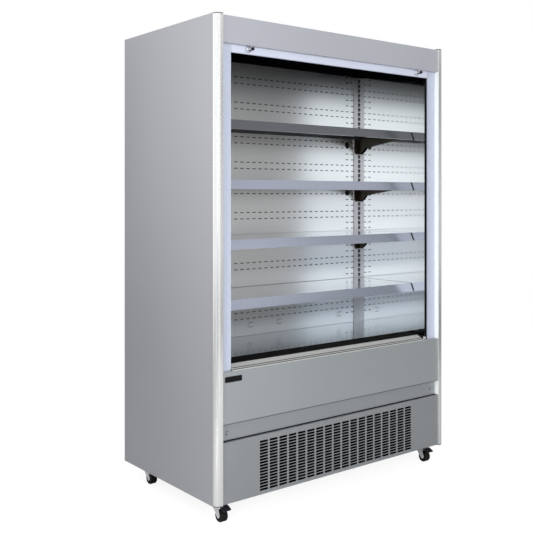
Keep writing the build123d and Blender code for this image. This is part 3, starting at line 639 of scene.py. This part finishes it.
for part, rows in rearWall.items():
    low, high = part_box(f"rear_panel_{part}")
    panel = startBox(f"rearPanel.{part}", low, (high.x, low.y + rearSlots["sheet"], high.z))
    roundOff(panel, lambda e: along(e, "X") and middle(e).y < low.y + 1e-4, rearSlots["edge"], 1)
    firstX = -rearSlots["pitch"] * (rearSlots["columns"] - 1) / 2
    cutters = [
        wallCutter(f"rowCutter{rowZ:.3f}", (firstX, low.y, rowZ), columns=rearSlots["columns"])
        for rowZ in rows["fullRows"]
    ]
    for rowZ in rows["sideRows"]:
        if min(abs(rowZ - z) for z in rows["fullRows"]) > rearSlots["clear"]:
            for column in rearSlots["outerColumns"]:
                for sign in (-1, 1):
                    spot = (sign * column * rearSlots["pitch"], low.y, rowZ)
                    cutters.append(wallCutter(f"sideCutter{rowZ:.3f}", spot))
    if part == "lower":
        width, height = lancedTabs["size"]
        line, z = lancedTabs["line"], lancedTabs["height"]
        for x in lancedTabs["columns"]:
            cutters.append(wallCutter("tabSide", (x - width / 2, low.y, z), (line, height - 3 * line)))
            for level in (-1, 1):
                spot = (x, low.y, z + level * (height - line) / 2)
                cutters.append(wallCutter("tabLine", spot, (width, line)))
            cutters.append(wallCutter("dash", (x, low.y, lancedTabs["dashHeight"]), lancedTabs["dash"]))
    cutWith(panel, joined(f"slotCutters.{part}", cutters))
    smoothByAngle(panel)
    dress(panel, "cabinet", finishes["rearSteel"], [f"rear_panel_{part}"])

plug = {"radius": 0.015, "proud": 0.004, "x": 0.507, "belowShelf": 0.051, "edge": 0.002}
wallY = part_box("rear_panel_lower")[0].y
plugs = []
for number in range(1, 5):
    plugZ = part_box(f"shelf_{number}")[1].z - plug["belowShelf"]
    for sign in (-1, 1):
        spot = (sign * plug["x"], wallY - plug["proud"] / 2, plugZ)
        one = startCylinder(f"plug{number}{sign}", spot, plug["radius"], plug["proud"], "Y", 32)
        roundOff(one, before(wallY - plug["proud"] / 2), plug["edge"], 3)
        plugs.append(one)
wallPlugs = joined("rearWall.plugs", plugs)
smoothByAngle(wallPlugs)
dress(wallPlugs, "cabinet", finishes["blackPlastic"])

screw = {"radius": 0.0045, "proud": 0.0024, "recess": 0.0022, "depth": 0.001, "edge": 0.0012,
         "wallPlace": (0.543, 0.737)}


def screwHead(name, spot):
    # round head with a sunk socket, standing proud of a face that looks to the front
    x, y, z = spot
    head = startCylinder(name, (x, y - screw["proud"] / 2, z), screw["radius"], screw["proud"], "Y", 20)
    roundOff(head, before(y - screw["proud"] / 2), screw["edge"], 3)
    pick(head, "FACE", looksFront)
    bpy.ops.mesh.inset(thickness=screw["radius"] - screw["edge"] - screw["recess"])
    bpy.ops.mesh.extrude_region_move(TRANSFORM_OT_translate={"value": (0, screw["depth"], 0)})
    bpy.ops.object.mode_set(mode="OBJECT")
    return head


screwX, screwZ = screw["wallPlace"]
wallScrews = joined(
    "rearWall.screws", [screwHead(f"wallScrew{sign}", (sign * screwX, wallY, screwZ)) for sign in (-1, 1)]
)
smoothByAngle(wallScrews)
dress(wallScrews, "cabinet", finishes["zincSteel"])
print("rear wall cut")

# ---- shelf uprights, a folded channel with oval slots beside the liner
channel = {"slot": (0.0080, 0.0205), "pitch": 0.025, "hookDrop": 0.010, "fromWall": 0.0045, "sheet": 0.0010,
           "bend": 0.0012, "rows": (-33, 13), "reach": 0.008, "joint": 0.0013, "edgeShadowProud": 0.0003,
           "shadeCore": (0.0017, 0.0105), "coreGap": 0.0008, "endGap": 0.001}
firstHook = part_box("shelf_1")[1].z - channel["hookDrop"]
for side, sign in (("left", -1), ("right", 1)):
    low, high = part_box(f"upright_{side}")
    wallX, freeX = (low.x, high.x) if sign < 0 else (high.x, low.x)
    path = [(wallX, high.y), (wallX, low.y), (freeX, low.y), (freeX, high.y)]
    if sign > 0:
        path.reverse()
    upright = foldedSheet(f"upright.{side}", path, (low.z, high.z), channel["sheet"], channel["bend"], 2, "Z")
    slotX = wallX - sign * channel["fromWall"]
    rows = [firstHook + channel["pitch"] * row for row in range(*channel["rows"])]
    rows = [z for z in rows if z < high.z - channel["pitch"] / 2]
    cutter = slotCutter(
        f"uprightCutter.{side}", (slotX, low.y, rows[0]), channel["slot"], channel["reach"],
        grid=(1, len(rows)), pitch=(1.0, channel["pitch"]),
    )
    cutWith(upright, cutter)
    smoothByAngle(upright)
    dress(upright, "cabinet", finishes["uprightSteel"], [f"upright_{side}"])
    # a dark sheet behind the slots as painted shade, and a dark line along each edge as painted shadow
    backY = low.y + channel["sheet"]
    shadeSpans = [(
        [wallX - sign * across for across in channel["shadeCore"]],
        backY + channel["coreGap"],
        backY + 2 * channel["coreGap"],
    )]
    for edgeX, inward in ((wallX, -sign), (freeX, sign)):
        ends = [edgeX, edgeX + inward * channel["joint"]]
        shadeSpans.append((ends, low.y - channel["edgeShadowProud"], low.y + channel["sheet"] / 2))
    shadeLines = [
        startBox(
            f"uprightShade{side}",
            (min(ends), startY, low.z + channel["endGap"]),
            (max(ends), endY, high.z - channel["endGap"]),
        )
        for ends, startY, endY in shadeSpans
    ]
    shadeCore = joined(f"upright.{side}.core", shadeLines)
    edgeSoften(shadeCore, fineEdge, 1)
    dress(shadeCore, "cabinet", finishes["filterAndShadeBlack"])
print("uprights made")

# ---- ribs of the return air grille
rib = {"pitch": 0.0065, "width": 0.0032, "height": 0.0012, "margin": 0.006, "crown": 0.0005, "sink": 0.0002}
low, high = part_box("return_air_grille")
ribs = startBox(
    "returnGrille.ribs",
    (low.x + rib["margin"], low.y + rib["margin"], high.z - rib["sink"]),
    (low.x + rib["margin"] + rib["width"], high.y - rib["margin"], high.z + rib["height"]),
)
roundOff(ribs, lambda e: along(e, "Y") and middle(e).z > high.z, rib["crown"], 1)
repeated(ribs, int((high.x - low.x - 2 * rib["margin"]) / rib["pitch"]), (rib["pitch"], 0, 0))
dress(ribs, "cabinet", finishes["ribBlack"])
print("return grille ribbed")

# ---- top rail, bent sheet with two grooves, each holding a dark strip as painted shade; at its right end a cap, a closer and a foot
rail = {"grooves": (0.385, 0.135), "width": 0.0052, "depth": 0.003, "sheet": 0.0010, "frontRise": 0.0012,
        "jambGap": 0.0002, "rightEnd": 0.544, "blackPart": 0.0185, "footWidth": 0.0056,
        "closerDrop": 0.006, "shadeStripDrop": 0.0002, "shadeStripShare": 0.96, "shadeStripSheet": 0.0015,
        "shadeStripEnds": (0.001, 0.0005), "edge": 0.0003, "endEdge": 0.0008, "shadeStripEdge": 0.0002}
railLow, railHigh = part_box("front_top_rail")
blockLow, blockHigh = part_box("rail_end_blocks")


def railSpot(share, drop=0.0):
    # a point on the sloping top, share 0 at the front edge and 1 at the rear edge
    frontZ = railLow.z + rail["frontRise"]
    return (railLow.y + (railHigh.y - railLow.y) * share, frontZ + (railHigh.z - frontZ) * share - drop)


path = [(railHigh.y, railLow.z), railSpot(1.0)]
half = rail["width"] / 2 / (railHigh.y - railLow.y)
for share in rail["grooves"]:
    for edge, drop in ((half, 0.0), (half, rail["depth"]), (-half, rail["depth"]), (-half, 0.0)):
        path.append(railSpot(share + edge, drop))
path += [railSpot(0.0), (railLow.y, railLow.z)]
railSpan = (blockLow.x + rail["jambGap"], rail["rightEnd"])
railPart = foldedSheet("topRail.body", path, railSpan, rail["sheet"])
edgeSoften(railPart, rail["edge"], 1, 60)
smoothByAngle(railPart)
dress(railPart, "cabinet", finishes["railSteel"], ["front_top_rail"])
capEnd = rail["rightEnd"] + rail["blackPart"]
closerEnd = blockHigh.x - rail["jambGap"] - rail["footWidth"]
endParts = {
    "endCap": (rail["rightEnd"], capEnd, blockHigh.z, "blackPlastic", "black_trim"),
    "closer": (capEnd, closerEnd, blockHigh.z - rail["closerDrop"], "railSteel", "brushed_front"),
    "gasketFoot": (closerEnd, closerEnd + rail["footWidth"], blockHigh.z, "blackRubber", "black_rubber"),
}
for part, (startX, endX, topZ, finish, slotName) in endParts.items():
    block = startBox(f"topRail.{part}", (startX, blockLow.y, blockLow.z), (endX, railHigh.y, topZ))
    edgeSoften(block, rail["endEdge"], 3)
    smoothByAngle(block)
    dress(block, "cabinet", finishes[finish], ["rail_end_blocks"])
# dark strips lying in the grooves, as painted shade of the grooves
shadeStrips = []
shadeStripSpan = (blockLow.x + rail["shadeStripEnds"][0], rail["rightEnd"] - rail["shadeStripEnds"][1])
for share in rail["grooves"]:
    ends = [railSpot(share + edge * rail["shadeStripShare"], rail["shadeStripDrop"]) for edge in (half, -half)]
    shadeStrips.append(foldedSheet(f"grooveShadeStrip{share}", ends, shadeStripSpan, rail["shadeStripSheet"]))
grooveShadeStrips = joined("topRail.inserts", shadeStrips)
edgeSoften(grooveShadeStrips, rail["shadeStripEdge"], 1)
dress(grooveShadeStrips, "cabinet", finishes["grooveShadeGrey"])
print("top rail made")

# ---- bare plate, a dark painted shadow line under the front panel, and marks on the front
plate = {"centre": (-0.585, 0.576), "size": (0.083, 0.023), "proud": 0.0012, "corner": 0.004, "edge": 0.0003}
(plateX, plateZ), (plateWidth, plateHeight) = plate["centre"], plate["size"]
panelLow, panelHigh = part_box("front_panel")
namePlate = startBox(
    "frontPanel.plate",
    (plateX - plateWidth / 2, panelLow.y - plate["proud"], plateZ - plateHeight / 2),
    (plateX + plateWidth / 2, panelLow.y, plateZ + plateHeight / 2),
)
roundOff(namePlate, lambda e: along(e, "Y"), plate["corner"], 5)
edgeSoften(namePlate, plate["edge"], 2, 60)
smoothByAngle(namePlate)
dress(namePlate, "cabinet", finishes["plateBlack"])

# a thin dark strip under the front panel's foot: painted shadow
footShadow = {"height": 0.0026, "inset": 0.0008, "edge": 0.0004}
footShadowLine = startBox(
    "frontPanel.footShadowLine",
    (panelLow.x, panelLow.y + footShadow["inset"], panelLow.z - footShadow["height"]),
    (panelHigh.x, panelHigh.y - footShadow["inset"], panelLow.z),
)
edgeSoften(footShadowLine, footShadow["edge"], 2)
dress(footShadowLine, "cabinet", finishes["capGrey"])

bandLow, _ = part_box("front_band")
bandMark = {"x": 0.608, "z": 0.361, "aside": 0.003, "slot": (0.0065, 0.0032), "shift": 0.0065,
            "sockets": ((1, 1), (0.6, -1)), "depth": 0.0004}
# the sockets are black slot shapes on the band: painted shade in the holes
heads, sockets = [], []
for sign in (-1, 1):
    spot = (sign * bandMark["x"] - bandMark["aside"], bandLow.y, bandMark["z"])
    heads.append(screwHead(f"bandScrew{sign}", spot))
    for shiftX, shiftZ in bandMark["sockets"]:
        centre = (spot[0] + shiftX * bandMark["shift"], bandLow.y, spot[2] + shiftZ * bandMark["shift"])
        sockets.append(slotCutter(f"socket{sign}{shiftZ}", centre, bandMark["slot"], 2 * bandMark["depth"]))
bandScrews = joined("frontBand.screws", heads)
smoothByAngle(bandScrews)
dress(bandScrews, "cabinet", finishes["screwSteel"])
bandSockets = joined("frontBand.sockets", sockets)
edgeSoften(bandSockets, fineEdge, 1)
dress(bandSockets, "cabinet", finishes["filterAndShadeBlack"])
print("front marks made")

# ---- knobs of the blind's bar
knob = {"x": 0.503, "z": 1.892, "baseRadius": 0.0125, "baseDepth": 0.008, "taper": 0.004, "stemRadius": 0.007,
        "stemDepth": 0.030, "edge": 0.0008, "tipRadius": 0.0066, "tipEdge": 0.0012, "depth": 0.038}
barLow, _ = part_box("blind_bar")
shrink = knob["stemRadius"] / knob["baseRadius"]
stemRun = knob["stemDepth"] - knob["baseDepth"] - knob["taper"]
tipDepth = knob["depth"] - knob["stemDepth"]
chromes, tips = [], []
for sign in (-1, 1):
    x, z = sign * knob["x"], knob["z"]
    baseSpot = (x, barLow.y - knob["baseDepth"] / 2, z)
    body = startCylinder(f"knob{sign}", baseSpot, knob["baseRadius"], knob["baseDepth"], "Y", 40)
    pick(body, "FACE", looksFront)
    bpy.ops.mesh.extrude_region_move(TRANSFORM_OT_translate={"value": (0, -knob["taper"], 0)})
    bpy.ops.transform.resize(value=(shrink, 1, shrink), center_override=(x, barLow.y - knob["baseDepth"], z))
    bpy.ops.mesh.extrude_region_move(TRANSFORM_OT_translate={"value": (0, -stemRun, 0)})
    bpy.ops.object.mode_set(mode="OBJECT")
    edgeSoften(body, knob["edge"], 3, 20)
    chromes.append(body)
    tipY = barLow.y - knob["stemDepth"] - tipDepth / 2
    tip = startCylinder(f"tip{sign}", (x, tipY, z), knob["tipRadius"], tipDepth, "Y", 24)
    roundOff(tip, before(tipY), knob["tipEdge"], 3)
    tips.append(tip)
knobs = joined("blindKnobs", chromes)
smoothByAngle(knobs, 50)
dress(knobs, "blind_bar", finishes["knobChrome"], ["blind_knobs"])
knobTips = joined("blindKnobs.tips", tips)
smoothByAngle(knobTips)
dress(knobTips, "blind_bar", finishes["blackPlastic"], ["blind_knobs"])
print("knobs made")

# ---- night blind, a free strip under a wound roll
blind = {"cloth": 0.0006, "cuts": 15, "turns": 8, "stepsPerTurn": 20, "tube": 0.016, "woundGap": 0.0008,
         "outerGap": 0.0001, "tubeWall": 0.004, "tubeSink": 0.003}
clothLow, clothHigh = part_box("blind_cloth")
rollerLow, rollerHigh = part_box("blind_roller")
stripY = (clothLow.y + clothHigh.y) / 2
strip = foldedSheet(
    "blindStrip", [(stripY, clothLow.z), (stripY, clothHigh.z)], (clothLow.x, clothHigh.x), blind["cloth"]
)
makeActive(strip)
bpy.ops.object.mode_set(mode="EDIT")
bpy.ops.mesh.select_all(action="SELECT")
bpy.ops.mesh.subdivide(number_cuts=blind["cuts"])
bpy.ops.object.mode_set(mode="OBJECT")
strip.data.materials.append(finishes["blindFabric"])
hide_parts("blind_cloth")
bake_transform(strip)

rollCentre = (rollerLow + rollerHigh) / 2
innerRadius = blind["tube"] + blind["woundGap"]
outerRadius = (rollerHigh.z - rollerLow.z) / 2 - blind["outerGap"]
steps = blind["turns"] * blind["stepsPerTurn"]
spiral = []
for i in range(steps + 1):
    angle = 2 * pi * i / blind["stepsPerTurn"]
    radius = innerRadius + (outerRadius - innerRadius) * i / steps
    spiral.append((rollCentre.y - radius * cos(angle), rollCentre.z + radius * sin(angle)))
roll = foldedSheet("blindRoll", spiral, (clothLow.x, clothHigh.x), blind["cloth"])
smoothByAngle(roll, 40)
dress(roll, "blind_roller", finishes["blindFabric"], ["blind_roller"])
tube = startCylinder("blindRoll.tube", rollCentre, blind["tube"], rollerHigh.x - rollerLow.x, "X", 40)
pick(tube, "FACE", looksAside)
bpy.ops.mesh.inset(thickness=blind["tubeWall"], use_individual=True)
bpy.ops.mesh.extrude_faces_move(TRANSFORM_OT_shrink_fatten={"value": -blind["tubeSink"]})
bpy.ops.object.mode_set(mode="OBJECT")
smoothByAngle(tube)
dress(tube, "blind_roller", finishes["coilAluminium"], ["blind_roller"])
print("blind made")

# ---- castor wheels with grooved treads, modelled once and copied
tread = {"width": 0.032, "edge": 0.005, "grooves": (-0.0075, 0.0, 0.0075), "grooveWidth": 0.0014,
         "grooveDepth": 0.0009, "hub": 0.015, "hubSink": 0.002, "hubRim": 0.003, "hubRise": 0.8,
         "bore": 0.0042, "sideArea": 0.0005}
places = ["front_left", "front_right", "rear_left", "rear_right"]
low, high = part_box(f"castor_wheel_{places[0]}")
hubCentre = (low + high) / 2
wheelRadius = (high.z - low.z) / 2
wheel = startCylinder("castorWheel.front_left", hubCentre, wheelRadius, tread["width"], "X", 64)
for offset in tread["grooves"]:
    for side in (-0.5, 0.5):
        pick(wheel, "FACE", lambda f: True)
        cutX = hubCentre.x + offset + side * tread["grooveWidth"]
        bpy.ops.mesh.bisect(plane_co=(cutX, 0, 0), plane_no=(1, 0, 0))
        bpy.ops.object.mode_set(mode="OBJECT")
for offset in tread["grooves"]:
    pick(wheel, "FACE", lambda f: abs(f.normal.x) < 0.1 and close(middle(f).x, hubCentre.x + offset, 3e-4))
    bpy.ops.mesh.extrude_region_shrink_fatten(TRANSFORM_OT_shrink_fatten={"value": -tread["grooveDepth"]})
    bpy.ops.object.mode_set(mode="OBJECT")
roundOff(
    wheel,
    lambda e: close(abs(middle(e).x - hubCentre.x), tread["width"] / 2)
    and all(close((v.co - hubCentre).yz.length, wheelRadius, 1e-4) for v in e.verts),
    tread["edge"],
    5,
)
pick(wheel, "FACE", lambda f: looksAside(f) and f.calc_area() > tread["sideArea"])
bpy.ops.mesh.inset(thickness=wheelRadius - tread["edge"] - tread["hub"], use_individual=True)
bpy.ops.mesh.extrude_faces_move(TRANSFORM_OT_shrink_fatten={"value": -tread["hubSink"]})
bpy.ops.mesh.inset(thickness=tread["hub"] - tread["bore"] - tread["hubRim"], use_individual=True)
bpy.ops.mesh.extrude_faces_move(TRANSFORM_OT_shrink_fatten={"value": tread["hubSink"] * tread["hubRise"]})
bpy.ops.object.mode_set(mode="OBJECT")
smoothByAngle(wheel, 32)
for place in places:
    otherLow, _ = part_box(f"castor_wheel_{place}")
    one = wheel if place == places[0] else copyOf(wheel, f"castorWheel.{place}", otherLow - low)
    dress(one, f"castor_wheel_{place}", finishes["wheelBlack"], [f"castor_wheel_{place}"])
print("wheels made")

# ---- brake pedals, a bent plate that widens past the fork, on a barrel round its pin
pedal = {"halfWidth": 0.021, "rearHalf": 0.0125, "sheet": 0.0024, "bend": (-0.3200, 0.0640),
         "tip": (-0.3445, 0.0520), "pinDepth": 0.004, "pinRise": 0.0015, "bendRadius": 0.002,
         "barrel": 0.0042, "corner": 0.006, "edge": 0.0004, "rearReach": 0.002, "tipReach": 0.003}
squeeze = pedal["rearHalf"] / pedal["halfWidth"]
for place in places[:2]:
    low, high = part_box(f"brake_pedal_{place}")
    centreX = (low.x + high.x) / 2
    pinY, pinZ = high.y - pedal["pinDepth"], (low.z + high.z) / 2
    path = [(pinY, pinZ + pedal["pinRise"]), pedal["bend"], pedal["tip"]]
    plateSpan = (centreX - pedal["halfWidth"], centreX + pedal["halfWidth"])
    plateBody = foldedSheet(f"brakePedal.{place}", path, plateSpan, pedal["sheet"], pedal["bendRadius"], 3)
    pick(plateBody, "VERT", lambda v: v.co.y > pinY - pedal["rearReach"])
    bpy.ops.transform.resize(value=(squeeze, 1, 1), center_override=(centreX, pinY, pinZ))
    bpy.ops.object.mode_set(mode="OBJECT")
    tipY = min(v.co.y for v in plateBody.data.vertices)
    roundOff(
        plateBody,
        lambda e: (e.verts[0].co - e.verts[1].co).length < 1.2 * pedal["sheet"] and not along(e, "X")
        and middle(e).y < tipY + pedal["tipReach"] and abs(middle(e).x - centreX) > pedal["halfWidth"] - 1e-4,
        pedal["corner"],
        5,
    )
    barrel = startCylinder(
        f"barrel{place}", (centreX, pinY, pinZ), pedal["barrel"], 2 * pedal["rearHalf"], "X", 24
    )
    for part in (plateBody, barrel):
        edgeSoften(part, pedal["edge"], 2)
    pedalPiece = joined(f"brakePedal.{place}", [plateBody, barrel])
    smoothByAngle(pedalPiece)
    dress(pedalPiece, f"brake_pedal_{place}", finishes["pedalSteel"], [f"brake_pedal_{place}"])
print("pedals made")

# ---- carried-over nodes, by finish
carried = {
    "sideSkin": ["side_panel_left", "side_panel_right", "roof_panel"],
    "rearPaint": ["back_panel", "machine_rear_grille"],
    "bandSteel": ["front_band"],
    "jambSteel": ["jamb_strips"],
    "blackRubber": ["jamb_gaskets"],
    "polishedLiner": ["side_liner_left", "side_liner_right"],
    "ceilingBlack": ["canopy_ceiling", "discharge_honeycomb"],
    "grilleBlack": ["return_air_grille"],
    "innerPlastic": ["insulated_tub"],
    "chassisPaintedShade": ["base_frame"],
    "zincSteel": [
        "castor_plates", "roller_brackets", "fan_plate", *(f"castor_fork_{place}" for place in places),
    ],
    "compressorPaint": ["compressor"],
    "coilBlack": ["condenser_coil", "condenser_shroud"],
    "coilAluminium": ["evaporator_coil"],
    "blackPlastic": ["control_box", "condenser_fan", "evaporator_fan_left", "evaporator_fan_right"],
    "deckSteel": ["deck_pan"],
    "barAluminium": ["blind_bar"],
    "shelfSteel": [f"shelf_{number}" for number in range(1, 5)],
    "bracketSteel": [f"shelf_{number}_brackets" for number in range(1, 5)],
}
for finish, nodeNames in carried.items():
    for nodeName in nodeNames:
        nodes[nodeName].data.materials.clear()
        nodes[nodeName].data.materials.append(finishes[finish])
print("carried nodes dressed")

# ---- floor, flags and light
def rayShare(tree, kinds):
    # 1 where the ray is of one of these kinds, else 0
    rays = tree.nodes.new("ShaderNodeLightPath")
    total = rays.outputs[kinds[0]]
    for kind in kinds[1:]:
        either = tree.nodes.new("ShaderNodeMath")
        either.operation = "MAXIMUM"
        tree.links.new(total, either.inputs[0])
        tree.links.new(rays.outputs[kind], either.inputs[1])
        total = either.outputs[0]
    return total


# a plain grey floor for reflections, and for the camera a white one that takes a faint shadow
floorLook = {"size": 16.0, "colour": 0.50, "roughness": 0.9, "whiteGlow": 0.88, "shadowShare": 0.22}
deselectAll()
bpy.ops.mesh.primitive_plane_add(size=floorLook["size"], location=(0, 0, 0))
floor = bpy.context.object
floor.name = "whiteFloor"
floorPaint = bpy.data.materials.new("whiteFloor")
floorPaint.use_nodes = True
tree = floorPaint.node_tree
plainFloor = tree.nodes["Principled BSDF"]
plainFloor.inputs["Base Color"].default_value = (floorLook["colour"],) * 3 + (1,)
plainFloor.inputs["Roughness"].default_value = floorLook["roughness"]
plainFloor.inputs["Specular IOR Level"].default_value = 0.0
shadowFloor = tree.nodes.new("ShaderNodeBsdfDiffuse")
shadowFloor.inputs["Color"].default_value = (floorLook["shadowShare"],) * 3 + (1,)
glow = tree.nodes.new("ShaderNodeEmission")
glow.inputs["Strength"].default_value = floorLook["whiteGlow"]
both = tree.nodes.new("ShaderNodeAddShader")
tree.links.new(shadowFloor.outputs[0], both.inputs[0])
tree.links.new(glow.outputs[0], both.inputs[1])
floorMix = tree.nodes.new("ShaderNodeMixShader")
tree.links.new(rayShare(tree, ["Is Camera Ray"]), floorMix.inputs["Fac"])
tree.links.new(plainFloor.outputs[0], floorMix.inputs[1])
tree.links.new(both.outputs[0], floorMix.inputs[2])
tree.links.new(floorMix.outputs[0], tree.nodes["Material Output"].inputs["Surface"])
floor.data.materials.append(floorPaint)

# cards that only reflections see, like a studio's flags; their shades go from foot to head
flags = {
    "rightFlag": {"place": (2.0, -2.3, 1.525), "size": (3.0, 2.95), "aim": (0.0, 0.0, 1.525),
                  "fade": (-0.5, -0.2), "ends": (1.35, 1.0),
                  "shades": [(0.0, 0.04), (0.13, 0.06), (0.23, 0.48), (0.39, 0.50), (0.51, 0.42), (0.67, 0.20),
                             (0.766, 0.15), (0.81, 0.50), (1.0, 0.60)]},
    "backFlag": {"place": (-2.4, 2.6, 1.4), "size": (3.2, 2.8), "aim": (-0.6, 0.0, 1.4),
                 "fade": (-0.30, 0.14), "ends": (2.9, 0.22),
                 "shades": [(0.0, 0.30), (0.25, 0.44), (0.5, 0.60), (0.75, 0.74), (1.0, 0.76)]},
    "cornerFlag": {"place": (3.4, 0.6, 1.3), "size": (4.0, 3.0), "aim": (0.675, -0.3, 1.3),
                   "fade": (-0.5, 0.5), "ends": (1.0, 1.0), "shades": [(0.0, 0.16), (1.0, 0.16)]},
    "nearCard": {"place": (-2.75, -3.3, 1.3), "size": (1.8, 2.6), "aim": (0.2, 0.0, 1.3),
                 "fade": (-0.5, 0.5), "ends": (1.0, 1.0),
                 "shades": [(0.0, (0.08, 0.12, 0.21)), (0.15, (0.11, 0.16, 0.27)), (0.28, (0.48, 0.55, 0.68)),
                            (0.47, (1.52, 1.57, 1.61)), (0.65, (1.16, 1.24, 1.29)), (0.85, (1.05, 1.12, 1.16)),
                            (1.0, (1.00, 1.05, 1.07))]},
}
for name, flag in flags.items():
    deselectAll()
    bpy.ops.mesh.primitive_plane_add(size=1.0)
    card = bpy.context.object
    card.name = name
    card.scale = (*flag["size"], 1.0)
    card.location = flag["place"]
    card.rotation_euler = (Vector(flag["aim"]) - Vector(flag["place"])).to_track_quat("Z", "Y").to_euler()
    paint = Paint(name)
    rise = paint.axis("Y") + 0.5
    stops = [(place, shade if isinstance(shade, tuple) else (shade,) * 3) for place, shade in flag["shades"]]
    glowColour = paint.node("ShaderNodeValToRGB", {"stops": stops}, {"Fac": rise})
    across = paint.range(paint.axis("X"), *flag["fade"], *flag["ends"])
    share = paint.node("ShaderNodeCombineXYZ", {}, {0: across, 1: across, 2: across})
    graded = paint.node("ShaderNodeVectorMath", {"operation": "MULTIPLY"}, {0: glowColour, 1: share})
    paint.put(
        Base_Color=(0.0, 0.0, 0.0), Emission_Color=graded, Emission_Strength=1.0, Specular_IOR_Level=0.0
    )
    card.data.materials.append(paint.material)
    card.visible_camera = False
    card.visible_diffuse = False
    card.visible_shadow = False

# white for the camera and in reflections, dimmer as a light
worldLook = {"asLight": 0.52, "seen": 1.0}
world = bpy.data.worlds.new("studioWorld")
world.use_nodes = True
bpy.context.scene.world = world
tree = world.node_tree
seen = rayShare(tree, ["Is Camera Ray", "Is Glossy Ray", "Is Transmission Ray"])
strength = tree.nodes.new("ShaderNodeMapRange")
strength.inputs[3].default_value = worldLook["asLight"]
strength.inputs[4].default_value = worldLook["seen"]
tree.links.new(seen, strength.inputs[0])
tree.links.new(strength.outputs[0], tree.nodes["Background"].inputs["Strength"])
tree.nodes["Background"].inputs["Color"].default_value = (1, 1, 1, 1)

lamps = {
    "keyLamp": {"place": (-2.4, -0.7, 2.3), "size": 1.2, "power": 28.0, "tint": (1.0, 1.0, 1.0)},
    "fillLamp": {"place": (0.1, -3.9, 1.6), "size": 2.4, "power": 121.0, "tint": (0.97, 0.985, 1.0)},
    "lowLamp": {"place": (-1.9, -1.3, 0.5), "size": 0.6, "power": 19.0, "tint": (1.0, 1.0, 1.0)},
}
lampAim = Vector((0, 0, 1.0))
for name, lamp in lamps.items():
    data = bpy.data.lights.new(name, "AREA")
    data.size = lamp["size"]
    data.energy = lamp["power"]
    data.color = lamp["tint"]
    made = bpy.data.objects.new(name, data)
    made.location = lamp["place"]
    made.rotation_euler = (lampAim - Vector(lamp["place"])).to_track_quat("-Z", "Y").to_euler()
    made.visible_glossy = False
    made.visible_camera = False
    bpy.context.scene.collection.objects.link(made)
bpy.context.scene.view_settings.view_transform = "Standard"
print("light set")
